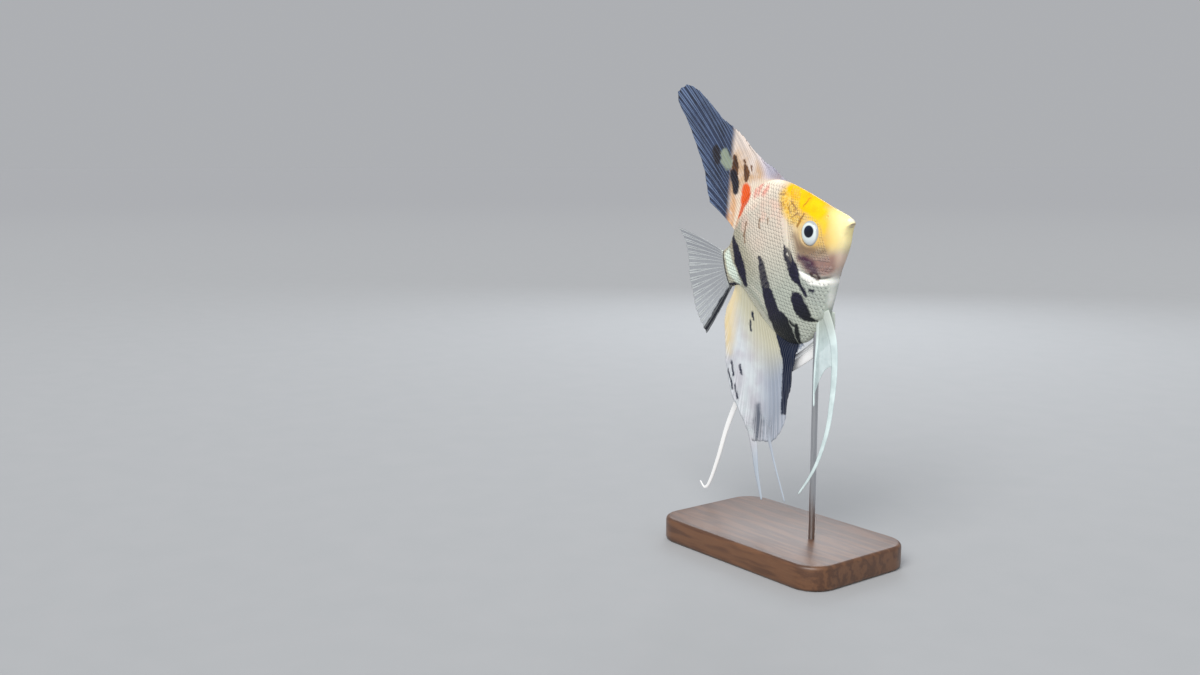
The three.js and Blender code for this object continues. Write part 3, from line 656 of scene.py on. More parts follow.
ANAL_BLACK = [
    BODY_BLACK[3],
    [(-9.6, -30.6, 0.35), (-9.7, -35.6, 0.3)],
    [(-11.7, -33.2, 0.3), (-11.3, -39.8, 0.35)],
    [(-9.9, -38.8, 0.3), (-10.0, -43.2, 0.25)],
    [(-6.0, -32.8, 0.3), (-6.1, -35.6, 0.2)],
    [(2.6, -19.3, 0.35), (2.0, -22.2, 0.3)],
    [(4.6, -16.6, 0.35), (4.3, -19.0, 0.25)],
]
ANAL_SMUDGE = [[(-1.5, -47.6, 0.8), (-2.9, -52.5, 2), (-4.2, -57, 1.4)]]
ANAL_OCHRE = [
    [(-1.6, -8.2, 1), (-5.2, -12.4, 2.4), (-7.8, -17, 3), (-9.2, -22.6, 2.4), (-10.2, -26.4, 1)],
]


def hide_colour(m):
    """The fish's colours and markings, some painted light and shade among them, the same for its skin and
    scales.
    """
    place = m.fish_place()
    x, _, z = m.parts(place)
    drawn = m.flat(m.ragged(m.ragged(place, 1.5, 0.35), 1.0, 1.3))
    calm = m.flat(m.ragged(place, 2.4, 0.22))
    crisp = m.flat(m.ragged(place, 0.3, 0.9))
    cloud = m.noise(place, 0.16, 3.0)
    fleck = m.noise(place, 1.1, 3.0, 0.65)

    low = m.mix((188, 195, 182), (174, 182, 173), (x + 0.25 * z).step(27, 31))
    middle = m.mix((178, 173, 150), (218, 212, 196), (x + 0.3 * z).step(8, 21))
    flank = m.mix(low, middle, z.step(-15, 1))
    warm = z.step(-3, 7) * x.step(9, 18)
    flank = m.mix(flank, (232, 214, 196), warm * (0.5 + 0.5 * cloud.step(0.35, 0.65)))
    blush = z.step(4, 13) * cloud.step(0.42, 0.62)
    flank = m.mix(flank, (244, 196, 176), blush * 0.5)
    flank = m.mix(flank, (255, 242, 222), (z - 0.25 * x).step(10.0, 15.0))
    flank = m.mix(flank, (150, 146, 136), fleck.step(0.55, 0.8) * (1 - z.step(-6, 8)) * 0.25)
    flank = m.draw(flank, (216, 214, 196), calm, PALE_BANDS, 0.9, 0.75)
    flank = m.draw(flank, (148, 148, 126), calm, DUSKY_BANDS, 0.8, 0.4)
    # painted light on the belly's edge, against the shade it turns into
    flank = m.draw(flank, (232, 230, 208), calm, BELLY_EDGE_LIGHT, 1.2, 0.7)
    # painted light on the chest's edge
    flank = m.draw(flank, (255, 255, 250), calm, CHEST_EDGE_LIGHT, 1.2)
    cheek = m.mix((222, 194, 144), (228, 188, 106), x.step(36, 45))
    cheek = m.mix(cheek, (250, 222, 140), (x - 0.1 * z).step(45.6, 49.4))
    cheek = m.mix(cheek, (254, 238, 176), (x - 0.1 * z).step(48.4, 52.0))
    on_head = (x + 0.12 * z).step(31.0, 37.5)
    colour = m.mix(flank, cheek, on_head * z.step(-11, -3))
    # painted shadow behind and below the eye
    colour = m.draw(colour, (118, 96, 84), calm, SHADOW_BELOW_EYE, 1.8, 0.85)
    colour = m.draw(colour, (252, 208, 40), calm, EYE_GLOW, 1.7, 0.85)
    web = m.cells(m.ragged(place, 1.0, 0.9), 0.8, "DISTANCE_TO_EDGE")
    vein = web.step(0.16, 0.02) * cloud.step(0.3, 0.55)
    amber = m.mix((248, 212, 120), (240, 190, 70), fleck.step(0.4, 0.6))
    amber = m.mix(amber, (176, 118, 44), vein * 0.8)
    colour = m.draw(colour, amber, calm, AMBER_CHEEK, 1.4)
    gold = m.mix((255, 186, 0), (255, 206, 0), cloud.step(0.3, 0.6))
    gold = m.mix(gold, (226, 160, 10), vein * 0.4 * x.step(41, 35))
    colour = m.draw(colour, gold, calm, YELLOW_CAP, 1.1)
    colour = m.draw(colour, (240, 172, 116), calm, ORANGE_HAZE, 1.6, 0.7)
    colour = m.draw(colour, (238, 88, 14), calm, ORANGE_PATCH, 0.7)
    colour = m.draw(colour, (240, 130, 114), drawn, ROSE_SPOTS, 0.9, 0.7)
    pink = m.mix((158, 122, 112), (140, 112, 110), fleck.step(0.35, 0.7))
    pink = m.mix(pink, (166, 132, 120), (x + 0.2 * z).step(41.5, 46))
    pink = m.mix(pink, (224, 200, 182), (x - 0.5 * z).step(50.2, 53))
    colour = m.draw(colour, pink, calm, GILL_PINK, 1.7, 0.95)
    colour = m.draw(colour, (62, 26, 60), drawn, GILL_PLUM, 1.3, 0.92)
    colour = m.draw(colour, (255, 255, 248), crisp, GILL_RIM, 0.55)
    spot = m.mix((70, 48, 52), (158, 148, 138), m.marks(crisp, GILL_SPOT_EYE, 0.25))
    colour = m.draw(colour, spot, drawn, GILL_SPOT, 0.4, 0.9)
    colour = m.draw(colour, (250, 246, 238), crisp, LIP_WHITE, 0.5, 0.9)
    # painted shade in the mouth slit
    colour = m.draw(colour, (142, 104, 100), m.flat(place), MOUTH_SLIT_SHADOW, 0.13, 0.8)
    colour = m.draw(colour, (234, 248, 232), calm, STALK_PALE, 0.8)
    colour = m.draw(colour, (150, 98, 34), drawn, BROW_DASHES, 0.3, 0.8)
    colour = m.draw(colour, (134, 92, 52), drawn, BROWN_SPOTS, 0.25, 0.8)
    black = m.marks(drawn, BODY_BLACK + STALK_BLACK, 0.45)
    ink = m.mix((10, 8, 42), (36, 30, 66), fleck.step(0.45, 0.8))
    ink = m.mix(ink, (4, 8, 20), (0 - z).step(16, 26))
    colour = m.mix(colour, ink, black * 0.97)
    colour = m.draw(colour, (226, 222, 212), drawn, FIN_ROOT_SPOT, 0.3)
    return colour, black, fleck, place


def skin_finish():
    m = Finish("angelfish skin")
    colour, black, fleck, place = hide_colour(m)
    pores = m.noise(place, 3.2, 3.0, 0.6)
    grain = m.cells(place, 2.6)
    height = pores * 0.6 + grain * 0.5
    return m.surface(base_color=colour, roughness=0.38 + 0.2 * fleck, metallic=0.06 - 0.06 * black,
                     subsurface_weight=0.05, subsurface_radius=(0.001, 0.0005, 0.0002),
                     specular_ior_level=0.14, coat_weight=0.14 - 0.13 * black, coat_roughness=0.2,
                     normal=m.bump(height, 0.035))


def scale_finish():
    m = Finish("angelfish scales")
    colour, black, fleck, place = hide_colour(m)
    edge, tint = m.kept("FreeEdge"), m.kept("Tint")
    plain = 1 - black
    silver = m.mix(colour, (252, 252, 246), edge.step(0.5, 1.0) * plain * 0.06)
    # painted shade: each scale a little darker towards its root, under the free edge of the scale before
    # it
    painted_root_shade = m.mix(silver, (112, 106, 100), (1 - edge.step(0.1, 0.5)) * plain * 0.03)
    tone = m.mix(painted_root_shade, (255, 252, 240), tint * plain * 0.08)
    ripple = (edge * 30.0).sine() * 0.5
    return m.surface(base_color=tone, roughness=0.34 + 0.14 * tint, metallic=0.12 * plain,
                     specular_ior_level=0.14, coat_weight=0.01 + 0.18 * plain, coat_roughness=0.2,
                     normal=m.bump(ripple + fleck, 0.008))


# ---------------- skin and scales


def build_skin(finish):
    """One closed skin over the whole body, from the snout to the end of the tail stalk."""
    start()
    bpy.ops.mesh.primitive_uv_sphere_add(segments=SKIN_SEGMENTS, ring_count=SKIN_RINGS, radius=1)
    skin = new_piece("skin")
    ball = vertex_places(skin)
    ring = np.rint(np.arccos(np.clip(ball[:, 2], -1, 1)) / math.pi * SKIN_RINGS).astype(int)
    segment = np.rint(np.arctan2(ball[:, 1], ball[:, 0]) / (2 * math.pi) * SKIN_SEGMENTS)
    put_vertices(skin, skin_places[ring, segment.astype(int) % SKIN_SEGMENTS])
    close_up()
    dress(skin, finish, "skin", "head", "lower_jaw", "gill_cover_right", "gill_cover_left",
          "trunk", "tail_stalk")
    return skin


SCALE_PITCH, SCALE_ROW = 1.14, 1.3
FACE_PITCH, FACE_ROW = 0.78, 0.86
SCALE_COVER, SCALE_BREADTH, SCALE_DOME = 1.7, 1.22, 0.3
SCALE_LIFT, SCALE_SEAT, SCALE_THICKNESS, SCALE_FADE = 0.019, -0.004, 0.85, 2.4
SCALES_START_X, SCALES_END_X, CLEAR_OF_KEEL = -3.2, 50, 0.35
SIZE_BY_X, SHARE_BY_X = (-3, 6, 14), (0.72, 0.9, 1.0)
BARE_TAIL_X, BARE_BEHIND_GILL, BARE_BEFORE_GILL = -3.0, 0.5, 0.75
BARE_ROUND_EYE, BARE_SNOUT_X, BARE_BESIDE_BONE = 4.6, 47.4, 0.4
CROWN_X, CROWN, CROWN_SLOPE, SNOUT_SLOPE = 40, (41, 9), 0.9, 0.25
PATCH_SIZE, UNWRAP_SPAN, UNWRAP_START = 0.003, 64, (6, 32)


def scale_plate():
    """One scale, modelled once: x runs from the root at 0 to the free edge at 1, y across, z out.
    Gives its outer shape for both of its faces, which of the two each vertex is on, and its polygons."""
    plate, run, breadth = flat_grid("scale_plate", 3, 4)
    across = breadth * 2 - 1
    shaped = np.stack((run * (1 - 0.3 * across * across),
                       0.5 * across * (0.62 + 0.5 * run - 0.14 * run * run),
                       -0.032 * across * across * (0.4 + 0.6 * run)), -1)
    plate.data.vertices.foreach_set("co", shaped.ravel())
    apply_modifier(plate, "SOLIDIFY", thickness=1.0, offset=-1, use_even_offset=False)
    twice = np.concatenate((shaped, shaped))
    under = (np.linalg.norm(vertex_places(plate) - twice, axis=1) > 0.5).astype(float)
    faces = [tuple(face.vertices) for face in plate.data.polygons]
    bpy.data.objects.remove(plate)
    return twice, under, faces


def half_lengths(x):
    """How far it is over the skin from the widest level to the back, and to the belly, at x."""
    return [np.interp(-x, -station_x, lengths) for lengths in (upper_length, lower_length)]


def level_of(x, walked):
    """The level, from -1 at the belly to 1 at the back, of a place walked up from the widest level."""
    upper, lower = half_lengths(x)
    return np.clip(np.where(walked > 0, walked / upper, walked / lower), -0.995, 0.995)


def scale_roots(side, pitch, row, margin):
    """Staggered places, as x and walked distance from the widest level, and how far each scale stands
    out: margin says how far inside its field a place is, and scales sink away towards the field's edge."""
    roots = []
    clear = CLEAR_OF_KEEL * row
    for i, x in enumerate(np.arange(SCALES_START_X, SCALES_END_X, pitch)):
        high, low = half_lengths(x)
        offset = 0.5 * row if i % 2 else 0.0
        first = math.ceil((-low - offset) / row)
        for k in range(first, int((high - offset) / row) + 1):
            walked = offset + k * row
            if clear - low < walked < high - clear:
                roots.append((x, walked))
    roots = np.array(roots)
    points, _ = on_skin(roots[:, 0], level_of(*roots.T), side)
    inside = margin(points[:, 0], points[:, 2])
    return roots[inside > 0], smooth(inside[inside > 0], 0, SCALE_FADE)


def gill_side_of(x, z):
    """Above 0 on the head's side of the gill opening, and its continuation up to the nape."""
    line = [(37, 32), (34.6, 19)] + GILL_LINE + [(54, -7)]
    return to_line(x, z, line)[1]


def body_margin(x, z):
    """How far inside the flank's field of scales a place is, above 0 inside it."""
    return 4 * np.minimum(-BARE_BEHIND_GILL - gill_side_of(x, z), x - BARE_TAIL_X)


def face_margin(x, z):
    """How far inside the face's field of scales a place is, above 0 inside it."""
    to_gill = 2 * (gill_side_of(x, z) - BARE_BEFORE_GILL)
    to_eye = from_place(x, z, EYE_OPENING, EYE_NARROW) - BARE_ROUND_EYE
    to_snout = np.minimum(BARE_SNOUT_X - SNOUT_SLOPE * z, BARE_SNOUT_X) - x
    to_crown = np.maximum(CROWN_X - x, CROWN[1] - CROWN_SLOPE * (x - CROWN[0]) - z)
    to_bone = 3 * (np.abs(to_line(x, z, PREOPERCLE)[1] + 0.1) - BARE_BESIDE_BONE)
    return np.minimum.reduce([to_gill, to_eye, to_snout, to_crown, to_bone])


def build_scales(name, side, finish):
    """One flank's coat: every scale is the same plate, laid along the skin towards the tail."""
    plate, under, faces = scale_plate()
    rng = np.random.default_rng(7 if side > 0 else 5)
    fields = [(body_margin, SCALE_PITCH, SCALE_ROW), (face_margin, FACE_PITCH, FACE_ROW)]
    places, edges, tints, patches = [], [], [], []
    for margin, pitch, row in fields:
        roots, stand_out = scale_roots(side, pitch, row, margin)
        roots = roots + rng.normal(0, 0.045 * pitch, roots.shape)
        size = rng.uniform(0.94, 1.06, (len(roots), 1))
        small = np.interp(roots[:, :1], SIZE_BY_X, SHARE_BY_X)
        run = plate[None, :, 0] * pitch * SCALE_COVER * size
        x = roots[:, :1] - run
        walked = roots[:, 1:] + plate[None, :, 1] * row * SCALE_BREADTH * size * small
        points, normals = on_skin(x, level_of(x, walked), side)
        height = SCALE_SEAT + SCALE_LIFT * (run / pitch - under * SCALE_THICKNESS)
        height += plate[None, :, 2] * SCALE_DOME * row
        height -= (1 - stand_out[:, None]) * SCALE_LIFT * SCALE_COVER
        places.append((points + normals * height[..., None]).reshape(-1, 3))
        edges.append(np.broadcast_to(plate[:, 0], run.shape).ravel())
        tints.append(np.repeat(rng.random(len(roots)), len(plate)))
        unwrap = (roots + UNWRAP_START) / UNWRAP_SPAN
        patch = np.stack((plate[:, 0] - 0.5, plate[:, 1]), -1) * PATCH_SIZE
        patches.append((unwrap[:, None, :] + patch[None, :, :]).reshape(-1, 2))
    places = np.concatenate(places)
    count = len(places) // len(plate)
    one = np.array([index for face in faces for index in face])
    corners = (one[None, :] + np.arange(count)[:, None] * len(plate)).ravel()
    lengths = np.tile([len(face) for face in faces], count)
    mesh = bpy.data.meshes.new(name)
    mesh.vertices.add(len(places))
    mesh.loops.add(len(corners))
    mesh.polygons.add(len(lengths))
    mesh.vertices.foreach_set("co", to_row(places).ravel())
    mesh.loops.foreach_set("vertex_index", corners)
    mesh.polygons.foreach_set("loop_start", np.concatenate(([0], np.cumsum(lengths)[:-1])))
    mesh.update(calc_edges=True)
    mesh.validate()
    coat = bpy.data.objects.new(name, mesh)
    bpy.context.scene.collection.objects.link(coat)
    keep_values(coat, FreeEdge=np.concatenate(edges), Tint=np.concatenate(tints))
    layer = mesh.uv_layers.new(name="OFBake")
    layer.data.foreach_set("uv", np.concatenate(patches)[corners].ravel())
    start()
    coat.select_set(True)
    bpy.context.view_layer.objects.active = coat
    close_up()
    dress(coat, finish, "skin")


# ---------------- eyes


def eye_finish():
    m = Finish("angelfish eye")
    x, y, z = m.parts(m.fish_place())
    across, up = x - EYE_X, z - EYE_Z
    pupil_x, pupil_z = across - PUPIL_AHEAD, up - PUPIL_UP
    from_pupil = (pupil_x * pupil_x + pupil_z * pupil_z) ** 0.5
    oval = across / EYE_NARROW
    from_middle = (oval * oval + up * up) ** 0.5
    streaks = m.noise(m.vector("MULTIPLY", m.fish_place(), (1, 0.2, 1)), 2.2, 3.0, 0.6)
    low_shade = (0 - up).step(0.3, 3.4)
    iris = m.mix((222, 233, 231), (212, 216, 222), low_shade * 0.6 + streaks.step(0.52, 0.8) * 0.3)
    iris = m.mix(iris, (146, 148, 152), from_middle.step(3.1, 3.8) * 0.75)
    iris = m.mix(iris, (120, 126, 140), from_pupil.step(PUPIL_RADIUS + 0.3, PUPIL_RADIUS) * 0.8)
    pupil = m.mix((2, 8, 28), (16, 34, 68), up.step(0.2, 2.6) * 0.7)
    colour = m.mix(pupil, iris, from_pupil.step(PUPIL_RADIUS - 0.08, PUPIL_RADIUS + 0.06))
    return m.surface(base_color=colour, roughness=0.3, specular_ior_level=0.15, coat_weight=0.6,
                     coat_roughness=0.04)


def build_eye(name, side, finish):
    start()
    bpy.ops.mesh.primitive_uv_sphere_add(segments=72, ring_count=64, radius=1)
    eye = new_piece(name)
    ball = vertex_places(eye)
    height = np.clip(ball[:, 2], -1, 1)
    radius = EYE_RADIUS * np.sqrt(np.maximum(1 - height * height, 0)) ** EYE_FULLNESS
    heading = np.arctan2(ball[:, 1], ball[:, 0])
    poles = np.abs(height) > 1 - 1e-6
    radius[poles] = 0
    across, up = radius * np.cos(heading) * EYE_NARROW, radius * np.sin(heading)
    depth = EYE_HALF_DEPTH * height
    put_vertices(eye, np.stack((EYE_X + across, side * (EYE_Y + depth), EYE_Z + up), -1))
    close_up()
    dress(eye, finish, "eye", f"eye_{'left' if side > 0 else 'right'}")
    return eye


# ---------------- fins

MEMBRANE, RAY_RISE, ROOT_THICKNESS, THICKEST = 0.10, 0.26, 0.95, 1.3
STREAMER_THICKNESS, LEAD_THICKNESS, REAR_THICKNESS, WEB_THICKNESS = 0.5, 0.55, 0.45, 0.22


def along(rows, column):
    """A smooth function of the first column that gives another one."""
    return curve_through([(row[0], row[column]) for row in rows])


def ray_ridges(u, v, rays, spiny_share):
    """1 on the middle of each ray and 0 between. Soft rays fork twice on their way to the edge."""
    phase = np.abs((u * rays + 0.5) % 1 - 0.5)
    soft = smooth(u, spiny_share - 0.02, spiny_share + 0.04) if spiny_share > 0 else np.ones_like(u)
    phase = np.abs(phase - soft * 0.17 * smooth(v, 0.42, 0.8))
    phase = np.abs(phase - soft * 0.065 * smooth(v, 0.72, 1.0))
    width = (0.17 - 0.09 * v) * (1 - 0.25 * soft)
    return ridge(phase, width)


def ray_fin(name, root, edge, bow, lie, rays, per_ray=8, rows=46, spiny_share=0.0, notch=0.0, ripple=0.0):
    """A fin of rays and thin skin between them. In side view root(u) gives where each ray starts, edge
    where it ends and bow(u) how far it bends on the way; lie(x, z) gives how far left the fin stands."""
    fin, u, v = flat_grid(name, rays * per_ray, rows)
    base, end = np.stack(root(u), -1), np.stack((along(edge, 1)(u), along(edge, 2)(u)), -1)
    chord = end - base
    length = np.linalg.norm(chord, axis=1)
    ridges = ray_ridges(u, v, rays, spiny_share)
    spiny = smooth(u, spiny_share + 0.02, spiny_share - 0.02) if spiny_share > 0 else 0 * u
    between = np.abs(np.sin(math.pi * u * rays)) ** 0.8
    dip = notch * (spiny * between + (1 - spiny) * 0.35 * (between ** 2))
    end = end - chord / length[:, None] * dip[:, None]
    across = np.stack((-chord[:, 1], chord[:, 0]), -1) / length[:, None]
    bend = (base + end) / 2 + across * bow(u)[:, None]
    share = v[:, None]
    x, z = ((1 - share) ** 2 * base + 2 * share * (1 - share) * bend + share ** 2 * end).T
    wave = ripple * smooth(v, 0.15, 1.0) * np.sin(2 * math.pi * (u * rays * 0.22) + 1.2)
    put_vertices(fin, np.stack((x, lie(x, z) + wave, z), -1))
    keep_values(fin, Ray=ridges, Along=v)
    root_swell = (ROOT_THICKNESS - MEMBRANE) * (1 - smooth(v, 0.0, 0.22))
    thickness = MEMBRANE + root_swell + RAY_RISE * ridges * (1 - 0.55 * v)
    thicken(fin, THICKEST, np.clip(thickness / THICKEST, 0, 1), 200)
    return fin


def smooth_route(points, share):
    """Points and headings on an even Catmull-Rom curve through the route, for shares from 0 to 1."""
    route = np.array(points, float)
    padded = np.vstack((2 * route[0] - route[1], route, 2 * route[-1] - route[-2]))
    place = np.clip(share, 0, 1) * (len(route) - 1)
    i = np.minimum(place.astype(int), len(route) - 2)
    t = (place - i)[:, None]
    p0, p1, p2, p3 = (padded[i + k] for k in range(4))
    first, second, third = p2 - p0, 2 * p0 - 5 * p1 + 4 * p2 - p3, 3 * p1 - p0 - 3 * p2 + p3
    at = 0.5 * (2 * p1 + first * t + second * t ** 2 + third * t ** 3)
    heading = 0.5 * (first + 2 * second * t + 3 * third * t ** 2)
    return at, heading / np.maximum(np.linalg.norm(heading, axis=1, keepdims=True), 1e-9)


def ribbon(name, strip, lie, thickness, fade_in=0.0):
    """A flat streamer with a fuller middle, widest at its start."""
    route, widths = strip
    piece, breadth, share = flat_grid(name, 8, 110)
    across = breadth * 2 - 1
    centre, heading = smooth_route(route, share)
    half = curve_through([(0, widths[0]), (0.4, widths[1]), (1, widths[2])])(share) / 2
    half = half * np.clip((1 - share) / 0.02 + 0.35, 0, 1)
    x = centre[:, 0] - heading[:, 1] * half * across
    z = centre[:, 1] + heading[:, 0] * half * across
    put_vertices(piece, np.stack((x, lie(x, z), z), -1))
    strand = np.abs(np.sin(across * 2.2 * math.pi)) * (1 - share * 0.5)
    show = smooth(share, 0.0, fade_in) if fade_in else np.ones_like(share)
    keep_values(piece, Ray=1 - 0.55 * strand, Along=np.full_like(share, 0.5), Show=show)
    full = np.sqrt(np.maximum(1 - (across * 0.96) ** 2, 0)) * (1 - 0.35 * share)
    thicken(piece, thickness, np.clip(full, 0.12, 1))
    return piece


def median_fin(name, base, bow, edge, contour, sink, **settings):
    """A fin on the middle line, whose base follows the body's contour."""
    def root(u):
        x = base[0] + (base[1] - base[0]) * u
        return x, contour(x) - sink

    return ray_fin(name, root, edge, lambda u: bow * np.sin(math.pi * np.minimum(u, 0.95)),
                   lambda x, z: swing(x), **settings)


def fan_fin(name, root_x, top, bottom, bow, edge, lie, **settings):
    """A fin whose rays fan out from an upright root."""
    return ray_fin(name, lambda u: (0 * u + root_x, top + (bottom - top) * u), edge,
                   lambda u: bow * (2 * u - 1), lie, **settings)


def membrane(name, colour_rule, ray_colour, clear, cloudy, fades=False):
    """Fin skin: colour_rule paints it and says where it is solid. Its rays are paler and less clear."""
    m = Finish(name)
    place = m.fish_place()
    drawn = m.flat(m.ragged(m.ragged(place, 1.4, 0.35), 0.7, 1.4))
    ray, reach = m.kept("Ray"), m.kept("Along")
    skin_colour, solid = colour_rule(m, place, drawn, reach)
    fine = m.noise(place, 0.9, 3.0, 0.6)
    on_ray = ray.step(0.25, 0.8)
    colour = m.mix(skin_colour, ray_colour, on_ray * (0.75 - 0.65 * solid))
    alpha = (clear + (cloudy - clear) * on_ray + 0.10 * (fine - 0.5)).most(solid)
    if fades:
        alpha = alpha * m.kept("Show")
    return m.surface(base_color=colour, roughness=0.38, specular_ior_level=0.16, coat_weight=0.1,
                     coat_roughness=0.2, normal=m.bump(ray * 0.4 + fine * 0.6, 0.05), alpha=alpha)


def dorsal_rule(m, place, drawn, reach):
    x, _, z = m.parts(place)
    cloud = m.noise(place, 0.2, 3.0)
    soft_line = (x - 0.42 * (z - 20)).step(1.5, 4.5)
    blue = m.mix((20, 32, 58), (44, 60, 94), cloud.step(0.3, 0.7))
    tan = reach.step(0.75, 0.15) * cloud.step(0.3, 0.6)
    cream = m.mix((232, 218, 208), (208, 164, 110), tan * 0.8)
    cream = m.mix(cream, (214, 208, 222), x.step(20, 25))
    sheath = soft_line * (1 - x.step(22.5, 27.5) * 0.3)
    cream = m.mix(cream, (236, 176, 122), (26 - z).step(0, 8) * cloud.step(0.35, 0.55) * 0.8)
    colour = m.mix(blue, cream, sheath)
    low = reach.step(0.16, 0.03)
    colour = m.mix(colour, (238, 222, 200), low)
    solid = (sheath * 0.9).most(low * 0.85)
    colour = m.draw(colour, (160, 172, 150), drawn, DORSAL_GREEN, 0.6, 0.9)
    solid = solid.most(m.marks(drawn, DORSAL_GREEN, 0.6) * 0.75)
    brown = m.marks(drawn, DORSAL_BROWN, 0.3)
    colour = m.mix(colour, m.mix((120, 78, 42), (74, 52, 38), cloud.step(0.35, 0.65)), brown)
    dark = m.marks(drawn, DORSAL_DARK, 0.5)
    colour = m.mix(colour, (38, 34, 40), dark)
    colour = m.draw(colour, (238, 96, 24), drawn, ORANGE_PATCH, 0.7)
    solid = solid.most(brown * 0.95).most(dark * 0.85)
    return colour, solid


def anal_rule(m, place, drawn, reach):
    x, _, z = m.parts(place)
    calm = m.flat(m.ragged(place, 2.4, 0.22))
    cloud = m.noise(place, 0.18, 3.0)
    pearl = m.mix((212, 220, 224), (196, 196, 204), cloud.step(0.3, 0.7))
    pearl = m.mix(pearl, (158, 167, 182), (x - 0.35 * (z + 30)).step(1.0, 11.5))
    pearl = m.mix(pearl, (166, 181, 196), (0 - z).step(57, 68))
    olive = m.mix(pearl, (200, 197, 172), reach.step(0.55, 0.12))
    ochre = m.marks(calm, ANAL_OCHRE, 3.2)
    colour = m.mix(olive, (236, 214, 160), ochre * 0.9)
    solid = (0.94 - 0.3 * reach.step(0.6, 1.0)).most(ochre * 0.9)
    dark = m.marks(drawn, ANAL_BLACK, 0.4)
    smudge = m.marks(drawn, ANAL_SMUDGE, 1.2) * 0.8
    colour = m.mix(colour, (44, 58, 80), smudge)
    colour = m.mix(colour, m.mix((2, 14, 40), (10, 28, 56), cloud), dark)
    return colour, solid.most(dark).most(smudge * 0.8)


def caudal_rule(m, place, drawn, reach):
    x, _, z = m.parts(place)
    dark = m.marks(drawn, CAUDAL_BLACK, 0.5)
    low = reach.step(0.14, 0.04)
    upper = (z + 0.45 * x).step(0.0, 6.0)
    colour = m.mix((112, 120, 130), (66, 76, 94), upper)
    colour = m.mix(colour, (206, 214, 204), low)
    colour = m.mix(colour, (24, 28, 38), dark)
    return colour, (low * 0.85).most(dark * 0.85)


def pale_rule(m, place, drawn, reach):
    cloud = m.noise(place, 0.25, 3.0)
    _, y, z = m.parts(place)
    pale = m.mix((194, 213, 214), (216, 234, 234), cloud.step(0.35, 0.65))
    # painted light: the left pelvic fin is painted whiter than the right one, as if it caught more light
    pale = m.mix(pale, (255, 255, 255), y.step(-0.5, 0.5))
    return m.mix((186, 196, 188), pale, (0 - z).step(25.0, 35.0)), 0.9 + 0.1 * cloud


def clear_rule(m, place, drawn, reach):
    low = reach.step(0.16, 0.03)
    return m.mix((206, 202, 190), (216, 208, 190), low), low * 0.2


def pelvic_web(name, fin, lie):
    """The skin between the two leading ribbons of a pelvic fin, with its short rays."""
    lead_share, rear_share = fin["web_reach"]
    web, u, v = flat_grid(name, 32, 40)
    dip = 1 - 0.16 * np.sin(math.pi * u) * v
    front, _ = smooth_route(fin["lead"][0], v * lead_share * dip)
    behind, _ = smooth_route(fin["rear"][0], v * rear_share * dip)
    x, z = (front * (1 - u[:, None]) + behind * u[:, None]).T
    put_vertices(web, np.stack((x, lie(x, z), z), -1))
    keep_values(web, Ray=ray_ridges(u, v, 4, 0.0), Along=v, Show=0.45 + 0.3 * (1 - smooth(v, 0, 0.5)))
    thicken(web, WEB_THICKNESS, np.ones_like(u))
    return web


def build_fins(finishes):
    dorsal = median_fin("dorsal_fin_skin", DORSAL_BASE, -DORSAL_BOW, DORSAL_EDGE, back_at, 1.0,
                        rays=34, spiny_share=0.5, notch=1.1, ripple=0.18)
    dress(dorsal, finishes["dorsal"], "fin_membrane", "dorsal_fin")
    anal = median_fin("anal_fin_skin", ANAL_BASE, -ANAL_BOW, ANAL_EDGE, belly_at, -1.0,
                      rays=30, spiny_share=0.22, notch=0.8, ripple=0.3)
    keep_values(anal, Show=np.ones(len(anal.data.vertices)))
    strips = [ribbon(f"anal_streamer_{i}", strip, lambda x, z: swing(x), STREAMER_THICKNESS, 0.3)
              for i, strip in enumerate(ANAL_STREAMERS)]
    anal = join([anal] + strips, "anal_fin_skin")
    dress(anal, finishes["anal"], "fin_membrane", "anal_fin")
    caudal = fan_fin("caudal_fin_skin", CAUDAL_ROOT_X, CAUDAL_TOP, CAUDAL_BOTTOM, CAUDAL_BOW, CAUDAL_EDGE,
                     lambda x, z: swing(x), rays=16, per_ray=10, notch=0.9, ripple=0.12)
    dress(caudal, finishes["caudal"], "fin_membrane", "caudal_fin")
    for name, side in SIDES.items():
        pectoral = fan_fin(
            f"pectoral_fin_skin_{name}", PECTORAL_X, PECTORAL_TOP, PECTORAL_BOTTOM, PECTORAL_BOW,
            PECTORAL_EDGE, lambda x, z: side * (PECTORAL_FLANK + PECTORAL_STAND_OFF * (PECTORAL_X - x)),
            rays=11, rows=30, notch=0.5)
        dress(pectoral, finishes["clear"], "fin_membrane", f"pectoral_fin_{name}")

        def lie(x, z):
            return side * (PELVIC_Y + PELVIC_SPLAY * np.maximum(PELVIC_Z - z, 0))

        fin = RIGHT_PELVIC if side < 0 else LEFT_PELVIC
        pieces = [ribbon(f"pelvic_lead_{name}", fin["lead"], lie, LEAD_THICKNESS),
                  ribbon(f"pelvic_rear_{name}", fin["rear"], lie, REAR_THICKNESS),
                  pelvic_web(f"pelvic_web_{name}", fin, lie)]
        pelvic = join(pieces, f"pelvic_fin_skin_{name}")
        dress(pelvic, finishes["pale"], "fin_membrane", f"pelvic_fin_{name}")


# ---------------- stand


